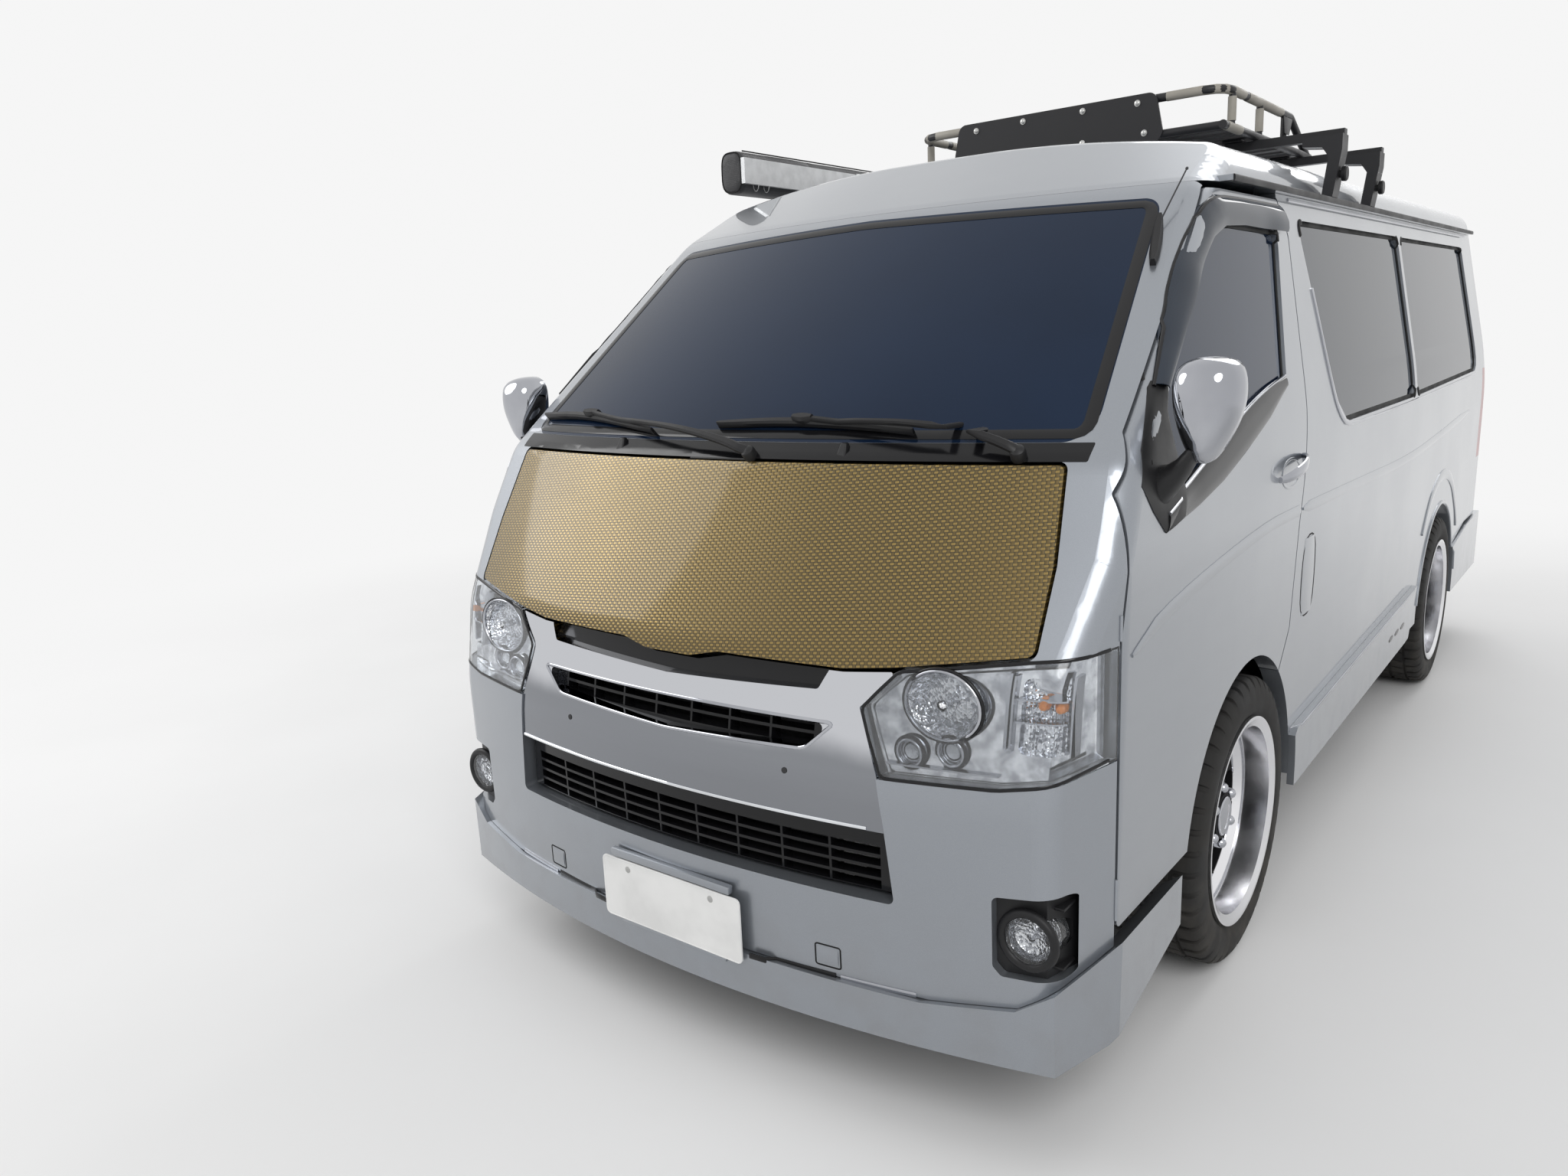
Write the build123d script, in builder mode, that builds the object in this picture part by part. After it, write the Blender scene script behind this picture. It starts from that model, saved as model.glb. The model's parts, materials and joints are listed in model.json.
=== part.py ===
from build123d import *
import copy
import math
import os

os.makedirs("parts", exist_ok=True)

# All sizes are millimetres. X points to the van's left, its nose points along -Y, and Z is up from the ground.
# Side-view tables give y behind the front axle.
WHEELBASE = 2570.0
NOSE_TO_AXLE = 1050.0
FRONT_AXLE_Y = -1305.0
REAR_AXLE_Y = FRONT_AXLE_Y + WHEELBASE
TAIL_Y = FRONT_AXLE_Y + 3652.0
WALL = 45.0
GLASS = 6.0
SHUT_GAP = 6.0
SEAT_GAP = 0.3
SEAM = 0.4

# Body shell
SILL_Z = 300.0
BODY_FLOOR_Z = 200.0
SECTION_LOW_Z = 100.0
ROOF_TOP_Z = 1936.0
SHOULDER_Z = 1868.0
ROOF_SEAM_Z = 1776.0
RAKE = math.tan(math.radians(0.8))
PLAN_ARC_Y = FRONT_AXLE_Y + 1958.0
SIDE_X = 850.0
BELT_Z = 1190.0
BELT_R = 1500.0
CORNER_R = 60.0
REAR_CORNER_R = 90.0
SIDE_TAPER = 5.0
CHEEK_ANGLE = 15.64
CHEEK_START = -760.0
LIP_PROUD = 12.0

# Wheels
TYRE_R = 341.0
TYRE_HALF = 112.5
FLANGE_R = 247.0
BEAD_R = 228.0
RIM_HALF = 112.0
BEAD_HALF = 100.0
DISH_R = 222.0
DISC_FACE = 24.0
DISC_BACK = -12.0
HUB_R = 60.0
HUB_FACE = 62.0
RIM_HOLES = 6
RIM_HOLE_R = 156.0
RIM_HOLE_LENGTH = 108.0
RIM_HOLE_WIDTH = 68.0
LUG_CIRCLE_R = 70.0
LUG_R = 12.0
LUG_TOP = 48.0
HUB_Z = TYRE_R
FRONT_TRACK_X = 736.0
REAR_TRACK_X = 742.0
KINGPIN_X = 690.0
ARCH_R = 390.0
ARCH_BACK = -15.0
ARCH_Z = 345.0

# Floor
FLOOR_Z = 600.0
FLOOR_PLATE = 40.0
CAB_FLOOR_Z = 470.0
SEAT_BASE_Z = 785.0
HOUSE_INNER_X = 440.0
RAIL_X = (340.0, 425.0)
RAIL_Z = (350.0, 430.0)
CROSS_Y = (-930.0, -880.0)

# Roof rack
BAR_Y = (860.0, 1330.0)
BAR_HALF = 790.0
BAR_Z = 1950.0
BAR_TOP_Z = 1974.0
BAR_PAD_X = (-745.0, -385.0)
BAR_PAD_HEIGHT = 1.5
BAR_WIDTH = 30.0
CLAMP_WIDTH = 64.0
TUBE_R = 11.0
BASKET_LEFT = 560.0
BASKET_RIGHT = -350.0
BASKET_FRONT = FRONT_AXLE_Y + 580.0
BASKET_REAR = FRONT_AXLE_Y + 1400.0
BASKET_TOP_Z = 2077.0

# Gutters, hinge pins, axle pins and seats
GUTTER_X = 751.0
GUTTER_WIDTH = 36.0
GUTTER_HEIGHT = 12.0
GUTTER_START_Y = -15.0
GUTTER_END_Y = 3450.0
HINGE_PIN_R = 2.7
DOOR_PIN_R = 3.2
DOOR_PIN_X = 843.5
DOOR_PIN_Y = -774.0
BONNET_PIN_Y = -824.5
BONNET_PIN_Z = 1254.5
TAIL_HINGE_Y = 3576.0
TAIL_HINGE_Z = 1875.5
PIN_R = 12.0
SPINDLE_R = 20.7
STEER_X = 380.0
BENCH_Z = 850.0
BENCH_Y = (1000.0, 1780.0, 2560.0)
SEAT_PLACES = [
    # x0, x1, y of the front edge, z of the underside
    (140, 620, -140, SEAT_BASE_Z + SEAT_GAP),
    (-620, -140, -140, SEAT_BASE_Z + SEAT_GAP),
    (-300, 700, BENCH_Y[0], BENCH_Z),
    (-300, 700, BENCH_Y[1], BENCH_Z),
    (-300, 700, BENCH_Y[2], BENCH_Z),
]

SEAT_PROFILE = [(0, 0), (0, 130), (400, 120), (500, 620), (590, 620), (510, 0)]
SEAT_EDGE_R = 40.0

# Front profile on the centreline: y behind the front axle, z
FRONT_PROFILE = [(-1042, 100), (-NOSE_TO_AXLE, 700), (-1016, 900), (-829, 1256), (-225, 1770), (400, 2090)]
FRONT_PROFILE_RADII = [400, 250, 120, 300]

# Front door outline in side view: y, z
DOOR_TOP_FRONT = (-95, ROOF_SEAM_Z - 95 * RAKE - SHUT_GAP + SEAM)
DOOR_TOP_REAR = (404, ROOF_SEAM_Z + 404 * RAKE - SHUT_GAP + SEAM)
DOOR_OUTLINE = [
    (-771, 421), (-771, 960), (-735, 1205), (-655, 1303), (-157, 1716), DOOR_TOP_FRONT,
    DOOR_TOP_REAR, (466, 1686), (417, 1268), (349, 999), (309, 738), (225, 640), (-15, 421),
]
DOOR_WINDOW = [(-640, 1250), (-585, 1157), (268, 1338), (370, 1692), (-100, 1692)]
# Side windows: y, z
FRONT_SIDE_WINDOW = [(560, 1728), (700, 1290), (835, 1205), (1840, 1210), (1840, 1745)]
REAR_SIDE_WINDOW = [(1880, 1745), (1880, 1210), (3240, 1235), (3290, 1260), (3230, 1762)]
SLIDING_DOOR = [(200, 1900), (200, 440), (1790, 440), (1860, 520), (1860, 1900)]

# Front-view outlines: x, z
WINDSCREEN = [(-752, 1288), (752, 1288), (672, 1742), (0, 1757), (-672, 1742)]
COWL = [(-757, 1257), (757, 1257), (757, 1287), (-757, 1287)]
BONNET = [
    (-722, 1251), (722, 1251), (741, 1089), (741, 948), (511, 914), (410, 903), (130, 903), (60, 888),
    (-60, 888), (-130, 903), (-410, 903), (-511, 914), (-741, 948), (-741, 1089),
]
HEADLAMP = [(452, 837), (517, 909), (741, 941), (870, 955), (870, 752), (790, 737), (704, 722), (497, 716)]
GRILLE_TOP = [
    (-511, 905), (-410, 896), (-130, 896), (-60, 881), (60, 881), (130, 896), (410, 896), (511, 905),
    (448, 837), (490, 714), (505, 612), (-505, 612), (-490, 714), (-448, 837),
]
GRILLE_LOW = [(-500, 650), (500, 650), (519, 476), (-519, 476)]
BUMPER_LOW = [(566, 298), (740, 321), (829, 379), (880, 421)]
BUMPER_HIGH = [(880, 751), (790, 736), (704, 721), (497, 715)]
FOG_RECESS = [(697, 528), (816, 536), (816, 378), (712, 378), (697, 395)]
TAILGATE = [(-655, 566), (655, 566), (655, 1250), (600, 1872), (-600, 1872), (-655, 1250)]
TAIL_WINDOW = [(-575, 1240), (575, 1240), (535, 1750), (-535, 1750)]
TAIL_LAMP = [(668, 830), (850, 830), (850, 1235), (668, 1235)]

# Openings in the bright grille: x, z
SLOT_TOP = [(-400, 932), (400, 932), (362, 860), (0, 846), (-362, 860)]
SLOT_LOW = [(-392, 799), (392, 799), (338, 750), (0, 738), (-338, 750)]
GRILLE_BACK = [
    (-480, 893), (-410, 889), (-130, 889), (-60, 874), (60, 874), (130, 889), (410, 889), (480, 893),
    (440, 840), (476, 714), (498, 612), (510, 484), (-510, 484), (-498, 612), (-476, 714), (-440, 840),
]
GRILLE_DEPTH = (30.0, 58.0)
SLAT = 6.0
RIB = 5.0
GRILLE_GRIDS = [
    # middle z, width, height, columns, rows
    (529, 960, 92, 9, 4),
    (770, 690, 52, 7, 2),
]

# Lamps
LENS = 4.0
LENS_DEPTH = 26.0
HOUSING_DEPTH = 58.0
FOG_DEPTH = 18.0
FOG_LAMP = (756.0, 452.0)
FOG_LAMP_R = 47.0
BOWL = (600.0, 856.0)
BOWL_R = 50.0
BOWL_FLARE = 32.0
BOWL_BASE_Y = -916.0
PROJECTORS = [
    # x, z, y of the base, y of the mouth
    (541, 764, -936, -970),
    (614, 772, -919, -952),
]
PROJECTOR_R = 27.0
PROJECTOR_BORE_R = 21.0
INDICATOR = (725.0, 800.0, 780.0, 908.0)
INDICATOR_BASE_Y = -880.0
RADIATOR = (-330.0, 330.0, -926.0, -890.0)
RADIATOR_TOP_Z = 800.0


def behind_axle(points):
    """Side-view points with y counted from the middle of the van."""
    return [(FRONT_AXLE_Y + y, z) for y, z in points]


def inset_outline(points, distance):
    """An open outline moved to its right by a distance, with its corners kept sharp."""
    sides = []
    for (x0, z0), (x1, z1) in zip(points, points[1:]):
        length = math.hypot(x1 - x0, z1 - z0)
        shift_x = (z1 - z0) / length * distance
        shift_z = -(x1 - x0) / length * distance
        sides.append(((x0 + shift_x, z0 + shift_z), (x1 + shift_x, z1 + shift_z)))
    moved = [sides[0][0]]
    for (a, b), (c, d) in zip(sides, sides[1:]):
        run = (b[0] - a[0], b[1] - a[1])
        next_run = (d[0] - c[0], d[1] - c[1])
        cross = run[0] * next_run[1] - run[1] * next_run[0]
        t = ((c[0] - a[0]) * next_run[1] - (c[1] - a[1]) * next_run[0]) / cross
        moved.append((a[0] + t * run[0], a[1] + t * run[1]))
    moved.append(sides[-1][1])
    return moved


def outline_face(points, radius):
    """A flat face with rounded corners, ready to be added to a sketch."""
    with BuildSketch() as face:
        with BuildLine():
            FilletPolyline(*points, radius=radius, close=True)
        make_face()
    return face.sketch


def body_volume(inset, base_z):
    """The whole body as one solid, every skin moved inwards by inset."""
    side_x = [SIDE_X - 8 - inset, SIDE_X - inset, SIDE_X - 124 - inset]
    lift = (TAIL_Y + 50 - FRONT_AXLE_Y) * RAKE
    belt_z = BELT_Z + lift
    shoulder_z = SHOULDER_Z - 0.9 * inset + lift
    crown_z = ROOF_TOP_Z - 13 - inset + lift
    shoulder_r = max(90 - inset, 30)
    right = [(side_x[0], SECTION_LOW_Z), (side_x[1], belt_z), (side_x[2], shoulder_z), (380, crown_z)]
    section = right + [(-x, z) for x, z in reversed(right)]
    front = inset_outline(FRONT_PROFILE, inset)
    swung = [(2 * PLAN_ARC_Y - FRONT_AXLE_Y - y, z) for y, z in front]
    cheek = math.tan(math.radians(CHEEK_ANGLE))
    cheek_y = FRONT_AXLE_Y + CHEEK_START
    reach = inset / math.cos(math.radians(CHEEK_ANGLE))
    wide = SIDE_X + 40
    narrow = 640
    plan = [
        (wide, TAIL_Y + 100),
        (wide, cheek_y + (wide - SIDE_X + 3 + reach) / cheek),
        (narrow, cheek_y - (SIDE_X - 3 - reach - narrow) / cheek),
    ]
    plan = plan + [(-x, y) for x, y in reversed(plan)]
    with BuildPart() as volume:
        with BuildSketch(Plane.XZ.offset(-TAIL_Y - 50)):
            with BuildLine():
                FilletPolyline(*section, radius=[BELT_R, shoulder_r, 3000, 3000, shoulder_r, BELT_R])
                Line(section[-1], section[0])
            make_face()
        extrude(amount=TAIL_Y + 50 + 2450, dir=(0, -1, -RAKE))
        with BuildSketch(Plane.YZ):
            with BuildLine():
                FilletPolyline(*swung, radius=FRONT_PROFILE_RADII)
                Polyline(swung[-1], (PLAN_ARC_Y, swung[-1][1]), (PLAN_ARC_Y, swung[0][1]), swung[0])
            make_face()
        revolve(axis=Axis((0, PLAN_ARC_Y, 0), (0, 0, 1)), mode=Mode.INTERSECT)
        with BuildSketch(Plane.XY.offset(base_z)):
            with BuildLine():
                Polyline(*plan, plan[0])
            make_face()
        extrude(amount=2200, mode=Mode.INTERSECT)
        tail = TAIL_Y - inset
        with BuildSketch(Plane.YZ.offset(-1000)):
            with BuildLine():
                Polyline(
                    (-2500, 50), (tail, 50), (tail, 1000), (tail - 85, 2000), (-2500, 2000), (-2500, 50)
                )
            make_face()
        extrude(amount=2000, mode=Mode.INTERSECT)
    return volume.part


def sharp_edges(solid, least_angle, low_z, rear):
    """Edges where two skins meet at more than an angle, at one end of the body."""
    found = []
    for edge in solid.edges():
        middle = edge @ 0.5
        faces = [face for face in solid.faces() if any(edge.is_same(other) for other in face.edges())]
        if len(faces) != 2 or middle.Z < low_z or (middle.Y > 0) != rear:
            continue
        if faces[0].normal_at(middle).get_angle(faces[1].normal_at(middle)) > least_angle:
            found.append(edge)
    return found


def soft_body(inset, base_z):
    """The body volume with its corners and roof edges rounded."""
    volume = body_volume(inset, base_z)
    volume = volume.fillet(CORNER_R, sharp_edges(volume, 8, base_z + 1, False))
    return volume.fillet(REAR_CORNER_R, sharp_edges(volume, 20, base_z + 1, True))


def side_plane(x):
    """A side-view plane: its first axis runs along Y, its second along Z."""
    return Plane(origin=(x, 0, 0), x_dir=(0, 1, 0), z_dir=(1, 0, 0))


def front_plane(y):
    """A front-view plane at y: its first axis runs along X, its second along Z, and it faces the nose."""
    return Plane(origin=(0, y, 0), x_dir=(1, 0, 0), z_dir=(0, -1, 0))


def seam_z(y):
    """Height of the roof seam at a distance behind the front axle."""
    return ROOF_SEAM_Z + y * RAKE


def side_cut(points, radius, grow, taper=0.0, low_x=520.0):
    """A block through the left side, along a side-view outline, tapered inwards."""
    with BuildPart() as block:
        with BuildSketch(side_plane(SIDE_START_X)):
            add(outline_face(behind_axle(points), radius))
            if grow:
                offset(amount=grow, kind=Kind.INTERSECTION)
        extrude(amount=low_x - SIDE_START_X, taper=taper)
    return block.part


def front_cut(points, radius, grow, back_y):
    """A block from the nose back to a plane, along a front-view outline."""
    with BuildPart() as block:
        with BuildSketch(front_plane(back_y)):
            add(outline_face(points, radius))
            if grow:
                offset(amount=grow, kind=Kind.INTERSECTION)
        extrude(amount=back_y - NOSE_CUT_Y)
    return block.part


def rear_cut(points, radius, grow, front_y):
    """A block from a plane back through the tail, along a rear-view outline."""
    with BuildPart() as block:
        with BuildSketch(front_plane(front_y)):
            add(outline_face(points, radius))
            if grow:
                offset(amount=grow, kind=Kind.INTERSECTION)
        extrude(amount=front_y - TAIL_Y - 100)
    return block.part


def side_slice(points):
    """A block right across the van, along a side-view outline with sharp corners."""
    placed = behind_axle(points)
    with BuildPart() as block:
        with BuildSketch(side_plane(-1100)):
            with BuildLine():
                Polyline(*placed, placed[0])
            make_face()
        extrude(amount=2200)
    return block.part


def arch_cut(axle_y):
    """The round cut over a wheel, right through the body."""
    with BuildPart() as block:
        with BuildSketch(side_plane(-1000)):
            with Locations((axle_y + ARCH_BACK, ARCH_Z)):
                Circle(ARCH_R)
            with Locations((axle_y + ARCH_BACK, ARCH_Z - 200)):
                Rectangle(2 * ARCH_R, 400)
        extrude(amount=2000)
    return block.part


def box_piece(x0, x1, y0, y1, z0, z1):
    """A plain block between two corners, y behind the front axle."""
    block = Box(x1 - x0, y1 - y0, z1 - z0, mode=Mode.PRIVATE)
    return Pos((x0 + x1) / 2, FRONT_AXLE_Y + (y0 + y1) / 2, (z0 + z1) / 2) * block


def mirrored(part):
    """The same piece on the van's other side."""
    with BuildPart() as other:
        mirror(part, about=Plane.YZ)
    return other.part


def door_pins(low_z, high_z):
    """The two upright hinge pins of the front doors between two heights."""
    with BuildPart() as pins:
        for side in (-1, 1):
            with Locations((side * DOOR_PIN_X, FRONT_AXLE_Y + DOOR_PIN_Y, (low_z + high_z) / 2)):
                Cylinder(DOOR_PIN_R, high_z - low_z)
    return pins.part


def fresh(part):
    """A separate copy of a shared solid, so that cuts in one piece can't disturb another."""
    return copy.deepcopy(part)


def save(part, name):
    """Label a finished piece and write its file."""
    part.label = name
    export_step(part, "parts/" + name + ".step")


FRONT_END_Y = FRONT_AXLE_Y - 777
NOSE_CUT_Y = -2500.0
SIDE_START_X = SIDE_X + 5

OUTER = soft_body(0, SILL_Z)
INNER = body_volume(WALL, BODY_FLOOR_Z)
SHELL = OUTER - INNER
PANES = body_volume(10, BODY_FLOOR_Z) - body_volume(10 + GLASS, BODY_FLOOR_Z)

# The part of the body that is side wall and not nose
with BuildPart() as side_zone_build:
    with BuildSketch(Plane.XZ.offset(2450)):
        with BuildLine():
            Polyline(
                (SIDE_X - 8 - 58, 200), (SIDE_X - 58, BELT_Z), (SIDE_X - 124 - 58, SHOULDER_Z),
                (950, SHOULDER_Z), (950, 200), (SIDE_X - 8 - 58, 200),
            )
        make_face()
    extrude(amount=-4800)
SIDE_ZONE = side_zone_build.part

FRONT_ARCH = arch_cut(FRONT_AXLE_Y)
REAR_ARCH = arch_cut(REAR_AXLE_Y)
DOOR_BLOCK = side_cut(DOOR_OUTLINE, 14, 0, SIDE_TAPER) & SIDE_ZONE
DOOR_OPENING = side_cut(DOOR_OUTLINE, 14, SHUT_GAP, SIDE_TAPER) & SIDE_ZONE

# Front doors
with BuildPart() as door_left:
    add(fresh(SHELL))
    add(DOOR_BLOCK, mode=Mode.INTERSECT)
    add(side_cut(DOOR_WINDOW, 30, 0), mode=Mode.SUBTRACT)
    add(FRONT_ARCH, mode=Mode.SUBTRACT)
save(door_left.part, "door_left")

with BuildPart() as door_right:
    mirror(door_left.part, about=Plane.YZ)
save(door_right.part, "door_right")

with BuildPart() as door_glass_left:
    add(fresh(PANES))
    add(side_cut(DOOR_WINDOW, 30, -SEAT_GAP), mode=Mode.INTERSECT)
save(door_glass_left.part, "door_glass_left")

with BuildPart() as door_glass_right:
    mirror(door_glass_left.part, about=Plane.YZ)
save(door_glass_right.part, "door_glass_right")

# Mirrors: a shell on an arm, seated on the door
MIRROR_X = 918.0
MIRROR_Y = FRONT_AXLE_Y - 590
MIRROR_Z = 1334.0
with BuildPart() as mirror_left:
    with BuildSketch(front_plane(MIRROR_Y + 45)):
        with Locations((MIRROR_X, MIRROR_Z)):
            RectangleRounded(112, 190, 45)
    extrude(amount=90)
    fillet(mirror_left.faces().sort_by(Axis.Y)[0].edges(), 28)
    with BuildSketch(front_plane(MIRROR_Y + 40)):
        with BuildLine():
            Polyline((780, 1150), (850, 1150), (925, 1242), (925, 1260), (880, 1270), (780, 1230), (780, 1150))
        make_face()
    extrude(amount=60)
    add(fresh(OUTER), mode=Mode.SUBTRACT)
save(mirror_left.part, "mirror_left")

with BuildPart() as mirror_right:
    mirror(mirror_left.part, about=Plane.YZ)
save(mirror_right.part, "mirror_right")

# Screen frame and front corners, one piece round the windscreen
LAMP_SEAT = front_cut(HEADLAMP, 10, SEAM, FRONT_END_Y)
with BuildPart() as front_pillars:
    add(fresh(SHELL))
    add(
        side_slice([(-1300, 942), (-1300, seam_z(-1300)), (200, seam_z(200)), (200, 942)]),
        mode=Mode.INTERSECT,
    )
    add(DOOR_OPENING, mode=Mode.SUBTRACT)
    add(mirrored(DOOR_OPENING), mode=Mode.SUBTRACT)
    add(front_cut(WINDSCREEN, 45, SEAT_GAP, FRONT_AXLE_Y + 400), mode=Mode.SUBTRACT)
    add(front_cut(COWL, 3, SEAM, FRONT_AXLE_Y - 500), mode=Mode.SUBTRACT)
    add(front_cut(BONNET, 12, SHUT_GAP, FRONT_AXLE_Y - 500), mode=Mode.SUBTRACT)
    add(LAMP_SEAT, mode=Mode.SUBTRACT)
    add(mirrored(LAMP_SEAT), mode=Mode.SUBTRACT)
    add(box_piece(-900, 900, -90, 500, 900, 1900), mode=Mode.SUBTRACT)
    add(door_pins(960, 1005))
save(front_pillars.part, "front_pillars")

with BuildPart() as windscreen:
    add(fresh(OUTER))
    add(body_volume(GLASS, BODY_FLOOR_Z), mode=Mode.SUBTRACT)
    add(front_cut(WINDSCREEN, 45, 0, FRONT_AXLE_Y + 400), mode=Mode.INTERSECT)
save(windscreen.part, "windscreen")

with BuildPart() as cowl:
    add(fresh(SHELL))
    add(front_cut(COWL, 3, 0, FRONT_AXLE_Y - 500), mode=Mode.INTERSECT)
    with Locations((0, FRONT_AXLE_Y + BONNET_PIN_Y, BONNET_PIN_Z)):
        Cylinder(HINGE_PIN_R, 160, rotation=(0, 90, 0))
save(cowl.part, "cowl")

with BuildPart() as bonnet:
    add(fresh(SHELL))
    add(front_cut(BONNET, 12, 0, FRONT_AXLE_Y - 500), mode=Mode.INTERSECT)
save(bonnet.part, "bonnet")

# Headlamps: a clear lens with a rim, and behind it a housing with a bowl, two projectors and an indicator
with BuildPart() as headlamps:
    add(fresh(SHELL))
    add(front_cut(HEADLAMP, 10, 0, FRONT_END_Y), mode=Mode.INTERSECT)
    add(body_volume(LENS_DEPTH, BODY_FLOOR_Z), mode=Mode.SUBTRACT)
    add(soft_body(LENS, SILL_Z) & front_cut(HEADLAMP, 10, -LENS, FRONT_END_Y), mode=Mode.SUBTRACT)
    mirror(headlamps.part, about=Plane.YZ)
save(headlamps.part, "headlamps")

with BuildPart() as headlamp_housings:
    add(body_volume(LENS_DEPTH + SEAT_GAP, BODY_FLOOR_Z) - body_volume(HOUSING_DEPTH, BODY_FLOOR_Z))
    add(front_cut(HEADLAMP, 10, 0, FRONT_END_Y), mode=Mode.INTERSECT)
    with BuildSketch(front_plane(FRONT_AXLE_Y + BOWL_BASE_Y)):
        with Locations(BOWL):
            Circle(BOWL_R)
    extrude(amount=60, taper=-BOWL_FLARE, mode=Mode.SUBTRACT)
    with BuildSketch(front_plane(FRONT_AXLE_Y + INDICATOR_BASE_Y)):
        with Locations(((INDICATOR[0] + INDICATOR[1]) / 2, (INDICATOR[2] + INDICATOR[3]) / 2)):
            RectangleRounded(INDICATOR[1] - INDICATOR[0], INDICATOR[3] - INDICATOR[2], 12)
    extrude(amount=100, mode=Mode.SUBTRACT)
    for x, z, base_y, mouth_y in PROJECTORS:
        with BuildSketch(front_plane(FRONT_AXLE_Y + base_y)):
            with Locations((x, z)):
                Circle(PROJECTOR_R)
        extrude(amount=base_y - mouth_y)
        with BuildSketch(front_plane(FRONT_AXLE_Y + mouth_y + 12)):
            with Locations((x, z)):
                Circle(PROJECTOR_BORE_R)
        extrude(amount=20, mode=Mode.SUBTRACT)
    mirror(headlamp_housings.part, about=Plane.YZ)
save(headlamp_housings.part, "headlamp_housings")

# Front bumper
with BuildPart() as bumper_block:
    with BuildSketch(front_plane(FRONT_END_Y)):
        with BuildLine():
            upper = BUMPER_HIGH + [(-x, z) for x, z in reversed(BUMPER_HIGH)]
            lower = [(-x, z) for x, z in reversed(BUMPER_LOW)] + BUMPER_LOW
            Polyline(*upper, *lower, upper[0])
        make_face()
    extrude(amount=FRONT_END_Y - NOSE_CUT_Y)

FRONT_BUMPER_HOLES = front_cut(GRILLE_LOW, 12, SEAM, FRONT_END_Y)
with BuildPart() as front_bumper:
    add(fresh(SHELL))
    add(bumper_block.part, mode=Mode.INTERSECT)
    add(front_cut(GRILLE_TOP, 4, SEAM, FRONT_END_Y), mode=Mode.SUBTRACT)
    add(FRONT_BUMPER_HOLES, mode=Mode.SUBTRACT)
    add(LAMP_SEAT, mode=Mode.SUBTRACT)
    add(mirrored(LAMP_SEAT), mode=Mode.SUBTRACT)
    add(front_cut(FOG_RECESS, 12, 0, FRONT_END_Y), mode=Mode.SUBTRACT)
    add(mirrored(front_cut(FOG_RECESS, 12, 0, FRONT_END_Y)), mode=Mode.SUBTRACT)
    add(door_pins(440, 520))
save(front_bumper.part, "front_bumper")

# Fog lamps, each round lamp in a dark bezel
FOG_BLOCK = front_cut(FOG_RECESS, 12, -SEAT_GAP, FRONT_END_Y)
with BuildPart() as fog_bezels:
    add(body_volume(FOG_DEPTH, BODY_FLOOR_Z) - INNER)
    add(FOG_BLOCK, mode=Mode.INTERSECT)
    with BuildSketch(front_plane(FRONT_AXLE_Y - 860)):
        with Locations(FOG_LAMP):
            Circle(FOG_LAMP_R + SEAT_GAP)
    extrude(amount=200, mode=Mode.SUBTRACT)
    mirror(fog_bezels.part, about=Plane.YZ)
save(fog_bezels.part, "fog_bezels")

with BuildPart() as fog_lamps:
    with BuildSketch(front_plane(FRONT_AXLE_Y - 880)):
        with Locations(FOG_LAMP):
            Circle(FOG_LAMP_R)
    extrude(amount=68)
    fillet(fog_lamps.faces().sort_by(Axis.Y)[0].edges(), 8)
    mirror(fog_lamps.part, about=Plane.YZ)
save(fog_lamps.part, "fog_lamps")

# Bright upper grille, and the dark slatted grille that backs it and fills the lower opening
with BuildPart() as grille_chrome:
    add(body_volume(4, BODY_FLOOR_Z) - body_volume(GRILLE_DEPTH[0], BODY_FLOOR_Z))
    add(front_cut(GRILLE_TOP, 4, 0, FRONT_END_Y), mode=Mode.INTERSECT)
    add(front_cut(SLOT_TOP, 10, 0, FRONT_END_Y), mode=Mode.SUBTRACT)
    add(front_cut(SLOT_LOW, 10, 0, FRONT_END_Y), mode=Mode.SUBTRACT)
save(grille_chrome.part, "grille_chrome")

with BuildPart() as grille_black:
    add(body_volume(GRILLE_DEPTH[0] + SEAT_GAP, BODY_FLOOR_Z) - body_volume(GRILLE_DEPTH[1], BODY_FLOOR_Z))
    add(front_cut(GRILLE_BACK, 4, 0, FRONT_END_Y), mode=Mode.INTERSECT)
    for middle_z, width, height, columns, rows in GRILLE_GRIDS:
        with BuildSketch(front_plane(FRONT_END_Y)):
            with Locations((0, middle_z)):
                with GridLocations(width / columns, height / rows, columns, rows):
                    Rectangle(width / columns - RIB, height / rows - SLAT)
        extrude(amount=FRONT_END_Y - NOSE_CUT_Y, mode=Mode.SUBTRACT)
save(grille_black.part, "grille_black")

with BuildPart() as radiator:
    add(box_piece(*RADIATOR, RAIL_Z[1] + SEAT_GAP, RADIATOR_TOP_Z))
save(radiator.part, "radiator")

# Lip under the bumper, wrapped back to the front wheels
with BuildPart() as lip_volume:
    add(body_volume(-LIP_PROUD, 205))
    add(body_volume(28, BODY_FLOOR_Z - 100), mode=Mode.SUBTRACT)
LIP_SIDE = [(-1300, 100), (-1300, 600), (-458, 600), (-458, 290), (-800, 206), (-800, 100)]
with BuildPart() as front_lip:
    add(lip_volume.part)
    add(side_slice(LIP_SIDE), mode=Mode.INTERSECT)
    with BuildSketch(front_plane(FRONT_AXLE_Y - 300)):
        with BuildLine():
            lip_half = [(x, z - 1) for x, z in BUMPER_LOW[:3]] + [(900, 430)]
            lip_top = [(-x, z) for x, z in reversed(lip_half)] + lip_half
            Polyline((-900, 100), *lip_top, (900, 100), (-900, 100))
        make_face()
    extrude(amount=1000, mode=Mode.INTERSECT)
    add(side_slice([(-1300, 414), (-1300, 700), (-400, 700), (-400, 414)]), mode=Mode.SUBTRACT)
save(front_lip.part, "front_lip")

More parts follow.
